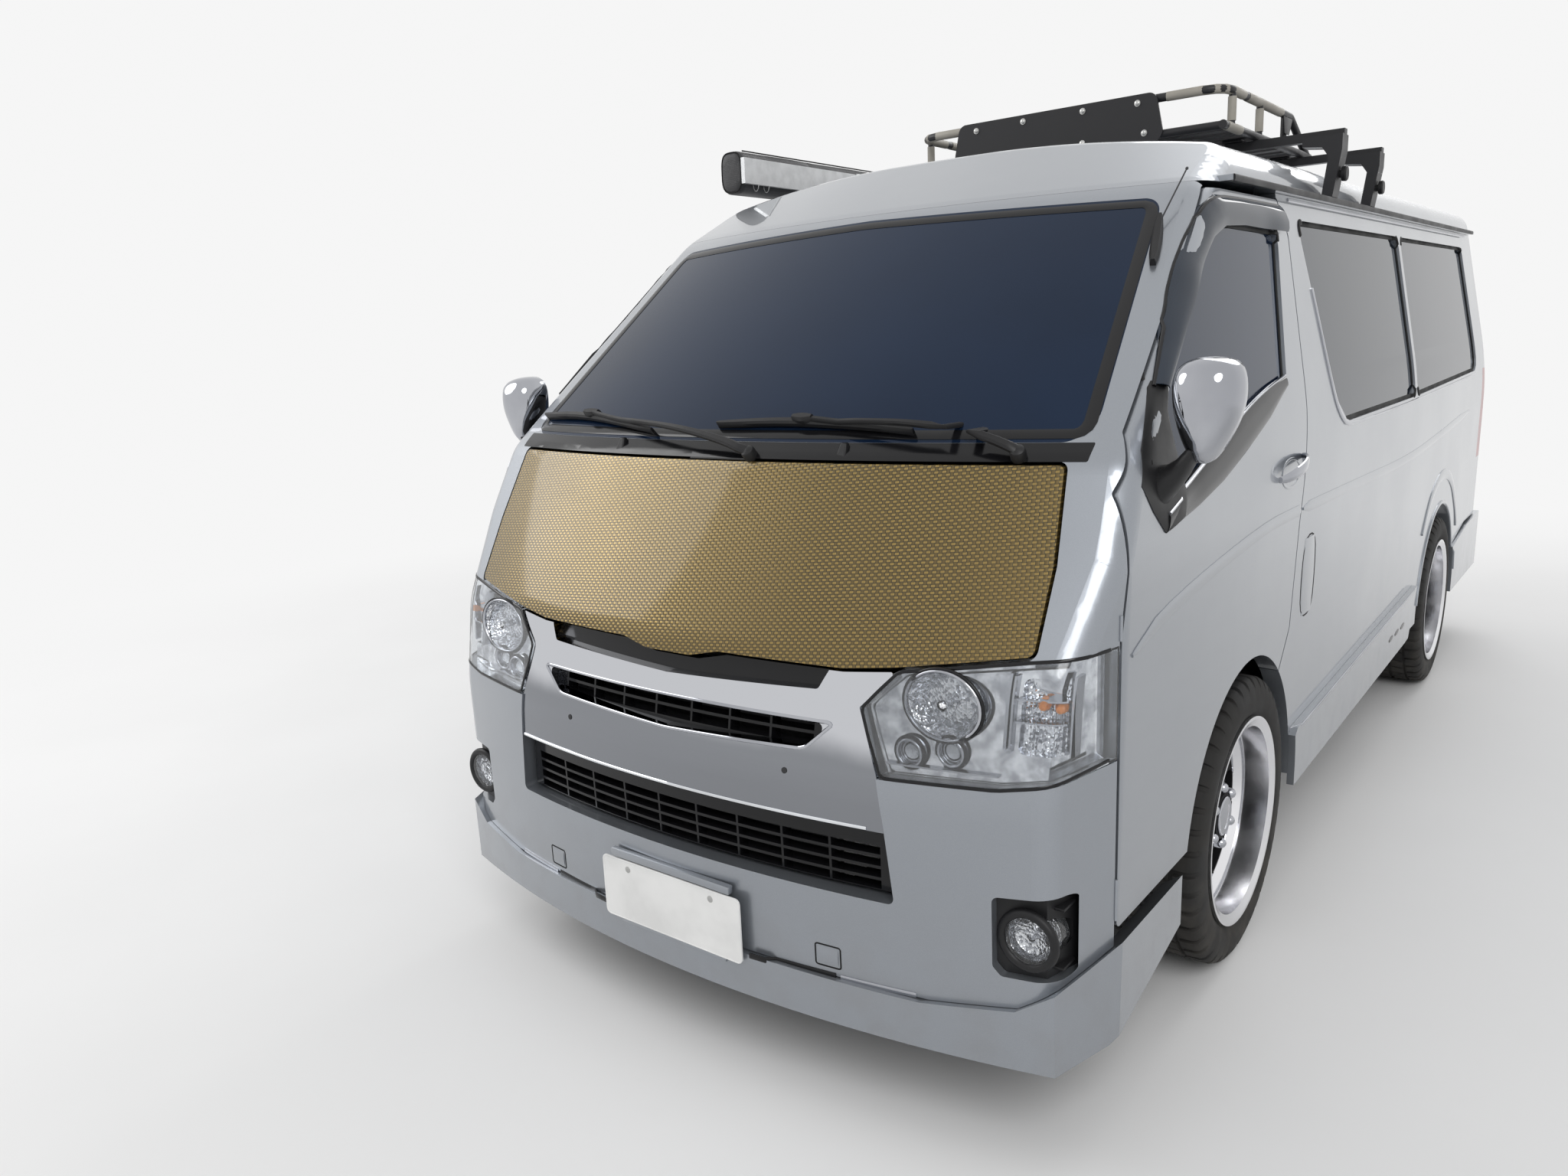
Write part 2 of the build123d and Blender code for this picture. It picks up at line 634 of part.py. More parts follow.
# Side panels, sliding door, roof and tail
REAR_OF_DOOR = side_slice([(-15, 330), (-15, seam_z(-15)), (3800, seam_z(3800)), (3800, 330)])
ABOVE_SEAM = side_slice([
    (-1300, seam_z(-1300) + SEAM), (-1300, 2200), (3900, 2200), (3900, seam_z(3900) + SEAM),
])
TAIL_OPENING = rear_cut(TAILGATE, 40, SHUT_GAP, FRONT_AXLE_Y + 3400)
LAMP_BLOCK = rear_cut(TAIL_LAMP, 8, 0, FRONT_AXLE_Y + 3480)
LAMP_OPENING = rear_cut(TAIL_LAMP, 8, SEAM, FRONT_AXLE_Y + 3480)
BUMPER_SEAT = side_slice([(2890, 0), (2890, 500), (3270, 560), (3800, 560), (3800, 0)])
WINDOW_FRONT = side_cut(FRONT_SIDE_WINDOW, 45, 0)
WINDOW_REAR = side_cut(REAR_SIDE_WINDOW, 45, 0)
with BuildPart() as side_panel_left:
    add(fresh(SHELL))
    add(REAR_OF_DOOR, mode=Mode.INTERSECT)
    add(box_piece(0, 1000, -100, 3900, 0, 2100), mode=Mode.INTERSECT)
    add(DOOR_OPENING, mode=Mode.SUBTRACT)
    add(box_piece(0, 1000, -200, 398, 1700, 2000), mode=Mode.SUBTRACT)
    add(FRONT_ARCH, mode=Mode.SUBTRACT)
    add(REAR_ARCH, mode=Mode.SUBTRACT)
    add(WINDOW_FRONT, mode=Mode.SUBTRACT)
    add(WINDOW_REAR, mode=Mode.SUBTRACT)
    add(TAIL_OPENING, mode=Mode.SUBTRACT)
    add(LAMP_OPENING, mode=Mode.SUBTRACT)
    add(BUMPER_SEAT, mode=Mode.SUBTRACT)
    add(box_piece(0, 660, 3300, 3900, 0, 2100), mode=Mode.SUBTRACT)
save(side_panel_left.part, "side_panel_left")

SLIDING_BLOCK = mirrored(side_cut(SLIDING_DOOR, 20, 0))
with BuildPart() as side_panel_right:
    add(mirrored(side_panel_left.part))
    add(mirrored(side_cut(SLIDING_DOOR, 20, SEAM)), mode=Mode.SUBTRACT)
save(side_panel_right.part, "side_panel_right")

with BuildPart() as sliding_door:
    add(mirrored(side_panel_left.part))
    add(SLIDING_BLOCK, mode=Mode.INTERSECT)
save(sliding_door.part, "sliding_door")

with BuildPart() as side_glass:
    add(fresh(PANES))
    add(side_cut(FRONT_SIDE_WINDOW, 45, -SEAT_GAP), mode=Mode.INTERSECT)
    add(fresh(PANES) & side_cut(REAR_SIDE_WINDOW, 45, -SEAT_GAP))
    mirror(side_glass.part, about=Plane.YZ)
save(side_glass.part, "side_glass")

with BuildPart() as roof_panel:
    add(fresh(SHELL))
    add(ABOVE_SEAM, mode=Mode.INTERSECT)
    add(TAIL_OPENING, mode=Mode.SUBTRACT)
    for side in (-1, 1):
        with BuildSketch(front_plane(FRONT_AXLE_Y + GUTTER_END_Y)):
            with Locations((side * GUTTER_X, seam_z(GUTTER_END_Y) + SEAM + GUTTER_HEIGHT / 2)):
                Rectangle(GUTTER_WIDTH, GUTTER_HEIGHT)
        extrude(amount=GUTTER_END_Y - GUTTER_START_Y, dir=(0, -1, -RAKE))
    with Locations((0, FRONT_AXLE_Y + TAIL_HINGE_Y, TAIL_HINGE_Z)):
        Cylinder(HINGE_PIN_R, 600, rotation=(0, 90, 0))
save(roof_panel.part, "roof_panel")

with BuildPart() as tailgate:
    add(fresh(SHELL))
    add(rear_cut(TAILGATE, 40, 0, FRONT_AXLE_Y + 3400), mode=Mode.INTERSECT)
    add(rear_cut(TAIL_WINDOW, 40, 0, FRONT_AXLE_Y + 3400), mode=Mode.SUBTRACT)
save(tailgate.part, "tailgate")

with BuildPart() as tailgate_glass:
    add(fresh(PANES))
    add(rear_cut(TAIL_WINDOW, 40, -SEAT_GAP, FRONT_AXLE_Y + 3400), mode=Mode.INTERSECT)
save(tailgate_glass.part, "tailgate_glass")

with BuildPart() as tail_lamps:
    add(fresh(SHELL))
    add(LAMP_BLOCK, mode=Mode.INTERSECT)
    mirror(tail_lamps.part, about=Plane.YZ)
save(tail_lamps.part, "tail_lamps")

with BuildPart() as rear_bumper:
    add(body_volume(-LIP_PROUD, 300))
    add(body_volume(WALL, 100), mode=Mode.SUBTRACT)
    add(side_slice([(2860, 300), (2869, 498), (3276, 545), (3800, 559.6), (3800, 300)]), mode=Mode.INTERSECT)
    add(REAR_ARCH, mode=Mode.SUBTRACT)
save(rear_bumper.part, "rear_bumper")

with BuildPart() as side_skirts:
    add(body_volume(-18, SILL_Z))
    add(body_volume(-SEAT_GAP, BODY_FLOOR_Z), mode=Mode.SUBTRACT)
    add(side_slice([(165, 297), (386, 456), (2040, 504), (1930, 330), (1871, 326)]), mode=Mode.INTERSECT)
    add(FRONT_ARCH, mode=Mode.SUBTRACT)
save(side_skirts.part, "side_skirts")

# Floor, wheel houses and rails, one welded pan trimmed to the inside of the walls
FLOOR_BLOCKS = [
    # x0, x1, y0, y1, z0, z1
    (0, 900, -690, -400, 430, CAB_FLOOR_Z),
    (0, 900, 400, 440, 430, FLOOR_Z),
    (0, 900, 400, 3560, FLOOR_Z - FLOOR_PLATE, FLOOR_Z),
    (HOUSE_INNER_X - 15, 900, -420, -400, 400, SEAT_BASE_Z),
    (HOUSE_INNER_X - 15, 900, 400, 420, 400, SEAT_BASE_Z),
    (0, 900, 400, 420, 430, SEAT_BASE_Z),
    (0, 900, -420, -400, 430, SEAT_BASE_Z),
    (0, 900, -420, 420, SEAT_BASE_Z - FLOOR_PLATE, SEAT_BASE_Z),
    (HOUSE_INNER_X - 15, HOUSE_INNER_X, -410, 410, 380, SEAT_BASE_Z - 10),
    (*RAIL_X, 86, 410, *RAIL_Z),
    (*RAIL_X, -1100, -86, *RAIL_Z),
    (*RAIL_X, 400, 3560, 440, FLOOR_Z - 10),
    (*RAIL_X, 330, 440, RAIL_Z[0], 500),
    (0, RAIL_X[1], *CROSS_Y, *RAIL_Z),
    (0, RAIL_X[1], 520, 580, 485, FLOOR_Z - 10),
    (0, RAIL_X[1], 1880, 1940, 485, FLOOR_Z - 10),
    (0, RAIL_X[1], 3200, 3260, 485, FLOOR_Z - 10),
    (0, 800, 3530, 3590, 450, FLOOR_Z),
    (490, 550, 1950, 1990, 455.4, FLOOR_Z - 10),
    (490, 550, 3150, 3190, 455.4, FLOOR_Z - 10),
    (590, 900, 2155, 2955, FLOOR_Z - 10, 765),
]
FLOOR_HOLES = [
    (215, 285, 380, 460, 400, 490),
    (HOUSE_INNER_X - 30, HOUSE_INNER_X + 10, -120, 120, 340, 560),
    (610, 900, 2175, 2935, 300, 745),
]
with BuildPart() as floor_pan:
    for x0, x1, y0, y1, z0, z1 in FLOOR_BLOCKS:
        if x0 == 0:
            add(box_piece(-x1, x1, y0, y1, z0, z1))
        else:
            add(box_piece(x0, x1, y0, y1, z0, z1))
            add(box_piece(-x1, -x0, y0, y1, z0, z1))
    for x0, x1, y0, y1, z0, z1 in FLOOR_HOLES:
        add(box_piece(x0, x1, y0, y1, z0, z1), mode=Mode.SUBTRACT)
        add(box_piece(-x1, -x0, y0, y1, z0, z1), mode=Mode.SUBTRACT)
    add(body_volume(WALL + SEAT_GAP, BODY_FLOOR_Z), mode=Mode.INTERSECT)
save(floor_pan.part, "floor_pan")

with BuildPart() as firewall:
    add(box_piece(-780, 780, -690, -670, CAB_FLOOR_Z + SEAT_GAP, 1180))
save(firewall.part, "firewall")

DASH_PROFILE = [(-669.7, 900), (-669.7, 1215), (-430, 1200), (-380, 1150), (-400, 1000), (-470, 900)]
with BuildPart() as dashboard:
    with BuildSketch(side_plane(-760)):
        with BuildLine():
            Polyline(*behind_axle(DASH_PROFILE), close=True)
        make_face()
    extrude(amount=1520)
    fillet(dashboard.edges().filter_by(Axis.X).sort_by(Axis.Y)[-2:], 40)
save(dashboard.part, "dashboard")

WHEEL_TILT = math.radians(30)
STEER_RIM_R = 190.0
STEER_GRIP_R = 15.0
column = Plane(
    origin=(STEER_X, FRONT_AXLE_Y - 330, 1130), x_dir=(1, 0, 0), z_dir=(0, math.cos(WHEEL_TILT), math.sin(WHEEL_TILT))
)
with BuildPart() as steering_wheel:
    with BuildSketch(Plane(origin=column.origin, x_dir=column.x_dir, z_dir=column.y_dir)):
        with Locations((STEER_RIM_R, 0)):
            Circle(STEER_GRIP_R)
    revolve(axis=Axis(column.origin, column.z_dir))
    with BuildSketch(column.offset(-2 * STEER_GRIP_R)):
        Circle(70)
        Rectangle(2 * STEER_RIM_R, 44)
    extrude(amount=24)
    with BuildSketch(column.offset(-10)):
        Circle(32)
    extrude(amount=-200)
    add(fresh(dashboard.part), mode=Mode.SUBTRACT)
save(steering_wheel.part, "steering_wheel")

# Seats and their frames
with BuildPart() as seats:
    for x0, x1, y0, z0 in SEAT_PLACES:
        with BuildSketch(side_plane(x0)):
            with BuildLine():
                profile = [(y0 + y, z0 + z) for y, z in SEAT_PROFILE]
                FilletPolyline(*behind_axle(profile), radius=SEAT_EDGE_R, close=True)
            make_face()
        extrude(amount=x1 - x0)
save(seats.part, "seats")

with BuildPart() as seat_frames:
    for y0 in BENCH_Y:
        for x in (-220, 200, 540):
            add(box_piece(x - 20, x + 20, y0 + 60, y0 + 460, BENCH_Z - 40, BENCH_Z - SEAT_GAP))
            for leg_y in (y0 + 60, y0 + 420):
                add(box_piece(x - 20, x + 20, leg_y, leg_y + 40, FLOOR_Z + SEAT_GAP, BENCH_Z - 20))
        for bar_y in (y0 + 60, y0 + 420):
            add(box_piece(-240, 560, bar_y + 5, bar_y + 35, BENCH_Z - 35, BENCH_Z - 5))
save(seat_frames.part, "seat_frames")

# Engine, suspension, axle, tank and exhaust
with BuildPart() as engine_block:
    add(box_piece(-260, 260, -250, 350, 325 + SEAT_GAP, 700))
    fillet(engine_block.edges().filter_by(Axis.Y), 20)
save(engine_block.part, "engine_block")

with BuildPart() as front_suspension:
    add(box_piece(-424, 424, -84, 84, 240, 325))
    for side in (-1, 1):
        add(box_piece(min(side * 344, side * 424), max(side * 344, side * 424), -84, 84, 320, 500))
        for arm_z, pin_low, pin_high in ((215, 215, 290), (441, 392, 465)):
            with BuildSketch(Plane.XY.offset(arm_z)):
                with BuildLine():
                    Polyline(
                        (side * 400, FRONT_AXLE_Y - 80), (side * KINGPIN_X, FRONT_AXLE_Y - 16),
                        (side * KINGPIN_X, FRONT_AXLE_Y + 16), (side * 400, FRONT_AXLE_Y + 80), close=True,
                    )
                make_face()
                with Locations((side * KINGPIN_X, FRONT_AXLE_Y)):
                    Circle(18)
            extrude(amount=24)
            with BuildSketch(Plane.XY.offset(pin_low)):
                with Locations((side * KINGPIN_X, FRONT_AXLE_Y)):
                    Circle(PIN_R)
            extrude(amount=pin_high - pin_low)
    add(box_piece(-424, 424, -60, 60, 215, 245))
save(front_suspension.part, "front_suspension")

for side, name in ((1, "knuckle_left"), (-1, "knuckle_right")):
    with BuildPart() as knuckle:
        add(box_piece(min(side * 664, side * 704), max(side * 664, side * 704), -30, 30, 245, 435))
        for boss_z in (245, 380):
            with BuildSketch(Plane.XY.offset(boss_z)):
                with Locations((side * KINGPIN_X, FRONT_AXLE_Y)):
                    Circle(PIN_R + SEAT_GAP)
            extrude(amount=55, mode=Mode.SUBTRACT)
        with BuildSketch(Plane(origin=(side * 700, FRONT_AXLE_Y, HUB_Z), x_dir=(0, 1, 0), z_dir=(side, 0, 0))):
            Circle(SPINDLE_R)
        extrude(amount=FRONT_TRACK_X + 49 - 700)
    save(knuckle.part, name)

SPRING_X = 520.0
SPRING_WIDTH = 64.0
LEAF_SPRING = [
    (-620, 440), (-620, 455), (-300, 428), (0, 412), (300, 428), (620, 455),
    (620, 440), (300, 408), (60, 380), (-60, 380), (-300, 408),
]
with BuildPart() as rear_axle:
    with Locations((0, REAR_AXLE_Y, HUB_Z)):
        Cylinder(45, 2 * 708, rotation=(0, 90, 0))
        Cylinder(SPINDLE_R, 2 * (REAR_TRACK_X + 49), rotation=(0, 90, 0))
        Sphere(125)
    with BuildSketch(front_plane(FRONT_AXLE_Y + 350.3)):
        with Locations((0, 380)):
            Circle(34)
    extrude(amount=-2130)
    for side in (-1, 1):
        with BuildSketch(side_plane(side * SPRING_X - SPRING_WIDTH / 2)):
            with BuildLine():
                Polyline(*[(REAR_AXLE_Y + y, z) for y, z in LEAF_SPRING], close=True)
            make_face()
        extrude(amount=SPRING_WIDTH)
save(rear_axle.part, "rear_axle")

with BuildPart() as fuel_tank:
    add(box_piece(450, 770, 650, 1500, 340, FLOOR_Z - FLOOR_PLATE - SEAT_GAP))
    fillet(fuel_tank.edges().filter_by(Axis.Y), 40)
save(fuel_tank.part, "fuel_tank")

with BuildPart() as exhaust:
    with BuildLine():
        FilletPolyline(
            (-250, FRONT_AXLE_Y + 350.3, 450), (-250, FRONT_AXLE_Y + 2900, 450),
            (-250, FRONT_AXLE_Y + 3150, 262), (-250, FRONT_AXLE_Y + 3640, 262), radius=120,
        )
    with BuildSketch(Plane(origin=(-250, FRONT_AXLE_Y + 350.3, 450), z_dir=(0, 1, 0))):
        Circle(25)
    sweep()
    with BuildSketch(front_plane(FRONT_AXLE_Y + 1800)):
        with Locations((-250, 450)):
            RectangleRounded(170, 120, 50)
    extrude(amount=500)
    for hanger_y in (1000, 2050):
        add(box_piece(-262, -238, hanger_y - 10, hanger_y + 10, 460, FLOOR_Z - FLOOR_PLATE - SEAT_GAP))
save(exhaust.part, "exhaust")

# Roof rack
with BuildPart() as crossbars:
    for bar_y in BAR_Y:
        bar_front = bar_y - BAR_WIDTH / 2
        bar_back = bar_y + BAR_WIDTH / 2
        add(box_piece(-BAR_HALF, BAR_HALF, bar_front, bar_back, BAR_Z, BAR_TOP_Z))
        add(box_piece(*BAR_PAD_X, bar_front, bar_back, BAR_Z, BAR_TOP_Z + BAR_PAD_HEIGHT))
        gutter_top = seam_z(bar_y) + SEAM + GUTTER_HEIGHT + 1.0
        foot = [
            (690, BAR_Z + 10), (BAR_HALF, BAR_Z + 10), (BAR_HALF, BAR_Z - 30), (772, gutter_top),
            (744, gutter_top), (757, BAR_Z - 45), (740, BAR_Z - 20), (690, BAR_Z - 14),
        ]
        for side in (-1, 1):
            with BuildSketch(front_plane(FRONT_AXLE_Y + bar_y + CLAMP_WIDTH / 2)):
                with BuildLine():
                    Polyline(*[(side * x, z) for x, z in foot], close=True)
                make_face()
            extrude(amount=CLAMP_WIDTH)
save(crossbars.part, "crossbars")

with BuildPart() as roof_basket:
    low_z = BAR_TOP_Z + SEAT_GAP + TUBE_R
    with BuildLine():
        FilletPolyline(
            (BASKET_LEFT, BASKET_REAR, low_z), (BASKET_LEFT, BASKET_REAR - 210, BASKET_TOP_Z),
            (BASKET_LEFT, BASKET_FRONT, BASKET_TOP_Z), (BASKET_RIGHT, BASKET_FRONT, BASKET_TOP_Z),
            (BASKET_RIGHT, BASKET_REAR - 210, BASKET_TOP_Z), (BASKET_RIGHT, BASKET_REAR, low_z), radius=60,
        )
    with BuildSketch(Plane(origin=(BASKET_LEFT, BASKET_REAR, low_z), z_dir=(0, -210, BASKET_TOP_Z - low_z))):
        Circle(TUBE_R)
    sweep()
    for x in (BASKET_LEFT, BASKET_RIGHT):
        with BuildSketch(front_plane(BASKET_REAR + 20)):
            with Locations((x, low_z)):
                Circle(TUBE_R)
        extrude(amount=BASKET_REAR - BASKET_FRONT + 32)
        for y in (BASKET_FRONT + 60, (BASKET_FRONT + BASKET_REAR - 210) / 2, BASKET_REAR - 270):
            with Locations((x, y, (low_z + BASKET_TOP_Z) / 2)):
                Cylinder(TUBE_R - 2, BASKET_TOP_Z - low_z)
    for y, cross_r in ((BASKET_FRONT, TUBE_R), (BASKET_REAR, TUBE_R - 0.5)):
        with Locations(((BASKET_LEFT + BASKET_RIGHT) / 2, y, low_z)):
            Cylinder(cross_r, BASKET_LEFT - BASKET_RIGHT, rotation=(0, 90, 0))
    for index in range(9):
        y = BASKET_FRONT + 80 + index * (BASKET_REAR - BASKET_FRONT - 160) / 8
        with Locations(((BASKET_LEFT + BASKET_RIGHT) / 2, y, low_z)):
            Box(BASKET_LEFT - BASKET_RIGHT, 40, 8)
save(roof_basket.part, "roof_basket")

with BuildPart() as wind_deflector:
    with BuildSketch(front_plane(BASKET_FRONT - TUBE_R - SEAT_GAP)):
        with BuildLine():
            FilletPolyline((-230, 1968), (410, 1968), (385, 2092), (-205, 2092), radius=25, close=True)
        make_face()
    extrude(amount=5)
save(wind_deflector.part, "wind_deflector")

with BuildPart() as awning_rail:
    add(box_piece(-790, -776, 240, 2240, BAR_TOP_Z + SEAT_GAP, 2050))
save(awning_rail.part, "awning_rail")

with BuildPart() as awning_bag:
    with BuildSketch(front_plane(FRONT_AXLE_Y + 2240)):
        with Locations((-835.3, 2012)):
            RectangleRounded(90, 132, 35)
    extrude(amount=2000)
save(awning_bag.part, "awning_bag")

# Plates
with BuildPart() as number_plates:
    add(box_piece(-195, 195, -1063, -1057.1, 277, 417))
save(number_plates.part, "number_plates")

# Wheels
RIM_PROFILE = [
    # along the axle from the wheel's middle, outwards; radius
    (-RIM_HALF, 240), (-RIM_HALF, FLANGE_R), (-104, FLANGE_R), (-BEAD_HALF, 240), (-BEAD_HALF, BEAD_R),
    (BEAD_HALF, BEAD_R), (BEAD_HALF, 240), (104, FLANGE_R), (RIM_HALF, FLANGE_R), (RIM_HALF, 240), (104, DISH_R),
    (DISC_FACE + 18, DISH_R), (DISC_FACE + 18, DISH_R - 12), (DISC_FACE, DISH_R - 26), (DISC_FACE, 94),
    (DISC_FACE + 12, HUB_R + 2), (HUB_FACE, HUB_R - 5), (HUB_FACE, 0), (50, 0), (50, 21), (-24, 21), (-24, HUB_R),
    (-22, 135), (DISC_BACK, 135), (DISC_BACK, 90), (DISC_FACE - 16, 90), (DISC_FACE - 16, DISH_R), (-104, DISH_R),
]
TYRE_PROFILE = [
    (-99.7, BEAD_R + SEAT_GAP), (-99.7, 248), (-TYRE_HALF, 272), (-TYRE_HALF, 310), (-102, 334), (-92, TYRE_R),
    (92, TYRE_R), (102, 334), (TYRE_HALF, 310), (TYRE_HALF, 272), (99.7, 248), (99.7, BEAD_R + SEAT_GAP),
    (84, BEAD_R + SEAT_GAP), (84, 246), (98, 276), (98, 306), (86, 325), (-86, 325), (-98, 306), (-98, 276),
    (-84, 246), (-84, BEAD_R + SEAT_GAP),
]
WHEELS = [
    # name, side, track, y
    ("front_left", 1, FRONT_TRACK_X, FRONT_AXLE_Y),
    ("front_right", -1, FRONT_TRACK_X, FRONT_AXLE_Y),
    ("rear_left", 1, REAR_TRACK_X, REAR_AXLE_Y),
    ("rear_right", -1, REAR_TRACK_X, REAR_AXLE_Y),
]
for name, side, track, axle_y in WHEELS:
    middle = Plane(origin=(side * track, axle_y, HUB_Z), x_dir=(side, 0, 0), z_dir=(0, -side, 0))
    spin = Axis((side * track, axle_y, HUB_Z), (1, 0, 0))
    with BuildPart() as rim:
        with BuildSketch(middle):
            with BuildLine():
                Polyline(*RIM_PROFILE, close=True)
            make_face()
        revolve(axis=spin)
        with BuildSketch(Plane(origin=(side * (track + 60), axle_y, HUB_Z), x_dir=(0, 1, 0), z_dir=(-side, 0, 0))):
            with PolarLocations(RIM_HOLE_R, RIM_HOLES):
                SlotOverall(RIM_HOLE_LENGTH, RIM_HOLE_WIDTH, rotation=90)
        extrude(amount=60, mode=Mode.SUBTRACT)
        with BuildSketch(Plane(origin=(side * (track + 8), axle_y, HUB_Z), x_dir=(0, 1, 0), z_dir=(side, 0, 0))):
            with PolarLocations(LUG_CIRCLE_R, RIM_HOLES, start_angle=180 / RIM_HOLES):
                Circle(LUG_R)
        extrude(amount=LUG_TOP - 8)
    save(rim.part, "rim_" + name)
    with BuildPart() as tyre:
        with BuildSketch(middle):
            with BuildLine():
                Polyline(*TYRE_PROFILE, close=True)
            make_face()
        revolve(axis=spin)
    save(tyre.part, "tyre_" + name)
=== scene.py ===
"""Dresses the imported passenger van, lights it in a plain studio and places the camera."""

import json
import logging
import math
from dataclasses import dataclass, field
from enum import Enum
from typing import Optional, Sequence

import bpy
from mathutils import Matrix, Vector
from mathutils.bvhtree import BVHTree

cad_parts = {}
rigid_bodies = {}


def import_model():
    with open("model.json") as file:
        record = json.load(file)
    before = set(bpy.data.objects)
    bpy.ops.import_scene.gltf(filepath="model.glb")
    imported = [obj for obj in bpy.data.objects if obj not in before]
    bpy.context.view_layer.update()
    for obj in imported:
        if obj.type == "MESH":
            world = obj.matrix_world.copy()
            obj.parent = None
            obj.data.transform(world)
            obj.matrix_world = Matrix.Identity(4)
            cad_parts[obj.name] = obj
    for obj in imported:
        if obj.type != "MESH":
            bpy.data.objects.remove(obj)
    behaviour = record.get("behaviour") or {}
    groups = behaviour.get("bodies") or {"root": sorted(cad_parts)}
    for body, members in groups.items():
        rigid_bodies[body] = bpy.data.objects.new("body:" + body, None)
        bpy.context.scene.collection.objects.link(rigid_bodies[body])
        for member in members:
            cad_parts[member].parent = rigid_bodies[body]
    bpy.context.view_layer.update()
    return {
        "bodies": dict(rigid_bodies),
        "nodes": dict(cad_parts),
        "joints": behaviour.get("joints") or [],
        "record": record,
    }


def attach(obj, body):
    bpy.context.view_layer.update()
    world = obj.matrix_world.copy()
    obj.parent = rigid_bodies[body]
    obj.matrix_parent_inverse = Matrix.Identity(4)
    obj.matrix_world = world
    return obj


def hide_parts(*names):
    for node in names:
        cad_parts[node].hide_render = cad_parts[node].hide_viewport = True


LOG = logging.getLogger("passenger_van")
MM = 0.001
FRONT_AXLE_Y = -1.305
RAKE = math.tan(math.radians(0.8))
LEAST_RADIUS = 0.00002

Point = tuple[float, float, float]
FORWARDS = (math.pi / 2, 0, 0)
Colour = tuple[float, float, float]
Piece = bpy.types.Object
Socket = bpy.types.NodeSocket
Path = Sequence[tuple[float, float]]
Place = tuple[Vector, Vector]
Places = Sequence[Place]


class Side(Enum):
    """The van's two sides, as the sign of X."""

    LEFT = 1
    RIGHT = -1

    @property
    def word(self) -> str:
        """The side in small letters, for names."""
        return self.name.lower()


# Small helpers for modelling


def at(x: float, y: float, z: float) -> Point:
    """A point in metres from millimetres, with y counted behind the front axle."""
    return (x * MM, FRONT_AXLE_Y + y * MM, z * MM)


def deselect() -> None:
    """Leaves object mode clean, with nothing selected."""
    if bpy.context.object and bpy.context.object.mode != "OBJECT":
        bpy.ops.object.mode_set(mode="OBJECT")
    bpy.ops.object.select_all(action="DESELECT")


def pick(piece: Piece) -> Piece:
    """Selects one piece alone and makes it active."""
    deselect()
    piece.select_set(True)
    bpy.context.view_layer.objects.active = piece
    return piece


def edit(piece: Piece) -> Piece:
    """Opens one piece in edit mode with everything selected."""
    pick(piece)
    bpy.ops.object.mode_set(mode="EDIT")
    bpy.ops.mesh.select_all(action="SELECT")
    return piece


def named(name: str) -> Piece:
    """The piece just added, under its own name."""
    bpy.context.object.name = name
    return bpy.context.object


def settle(piece: Piece) -> Piece:
    """Puts a piece's place into its mesh, so that the object itself sits at the origin.

    Args:
        piece: The finished mesh object.

    Returns:
        The same object.
    """
    pick(piece)
    bpy.ops.object.transform_apply(location=True, rotation=True, scale=True)
    return piece


def apply_modifiers(piece: Piece) -> Piece:
    """Applies every modifier of a piece in order."""
    pick(piece)
    for name in [modifier.name for modifier in piece.modifiers]:
        bpy.ops.object.modifier_apply(modifier=name)
    return piece


def bevelled(piece: Piece, width: float, segments: int = 2) -> Piece:
    """Rounds a piece's sharp edges.

    Args:
        piece: The mesh object.
        width: Bevel width in metres.
        segments: Steps across the rounding.

    Returns:
        The same object, its bevel applied and its faces smooth.
    """
    bevel = piece.modifiers.new("edges", "BEVEL")
    bevel.width = width
    bevel.segments = segments
    bevel.limit_method = "ANGLE"
    apply_modifiers(piece)
    return smooth(piece)


def smooth(piece: Piece, angle: float = 40.0) -> Piece:
    """Shades a piece smooth up to an angle in degrees."""
    pick(piece)
    bpy.ops.object.shade_smooth_by_angle(angle=math.radians(angle))
    return piece


def block(name: str, low: Point, high: Point, bevel: float = 0.0) -> Piece:
    """A box between two corners.

    Args:
        name: Name of the piece.
        low: Lowest corner in metres.
        high: Highest corner in metres.
        bevel: Edge rounding in metres.

    Returns:
        The new mesh object.
    """
    deselect()
    centre = [(a + b) / 2 for a, b in zip(low, high)]
    bpy.ops.mesh.primitive_cube_add(size=1.0, location=centre)
    piece = named(name)
    piece.scale = [b - a for a, b in zip(low, high)]
    settle(piece)
    return bevelled(piece, bevel) if bevel else piece


def join(name: str, pieces: Sequence[Piece]) -> Piece:
    """Joins several meshes into one piece.

    Args:
        name: Name of the joined piece.
        pieces: The meshes.

    Returns:
        The joined object.
    """
    deselect()
    for piece in pieces:
        piece.select_set(True)
    bpy.context.view_layer.objects.active = pieces[0]
    if len(pieces) > 1:
        bpy.ops.object.join()
    joined = bpy.context.view_layer.objects.active
    joined.name = name
    return joined


def placed(model: Piece, name: str, scale: Point = (-1.0, 1.0, 1.0), place: Point = (0, 0, 0)) -> Piece:
    """A copy of a piece with a mesh of its own, by default its mirror image on the other side.

    Args:
        model: The piece to copy.
        name: Name of the copy.
        scale: Its scale along each axis.
        place: Where its origin goes, in metres.

    Returns:
        The copy.
    """
    deselect()
    piece = model.copy()
    piece.data = model.data.copy()
    piece.name = name
    bpy.context.collection.objects.link(piece)
    piece.scale = scale
    piece.location = place
    return outward(settle(piece))


def outward(piece: Piece) -> Piece:
    """Merges a mesh's doubles and turns its faces outwards."""
    edit(piece)
    bpy.ops.mesh.remove_doubles(threshold=0.00001)
    bpy.ops.mesh.normals_make_consistent(inside=False)
    bpy.ops.object.mode_set(mode="OBJECT")
    return piece


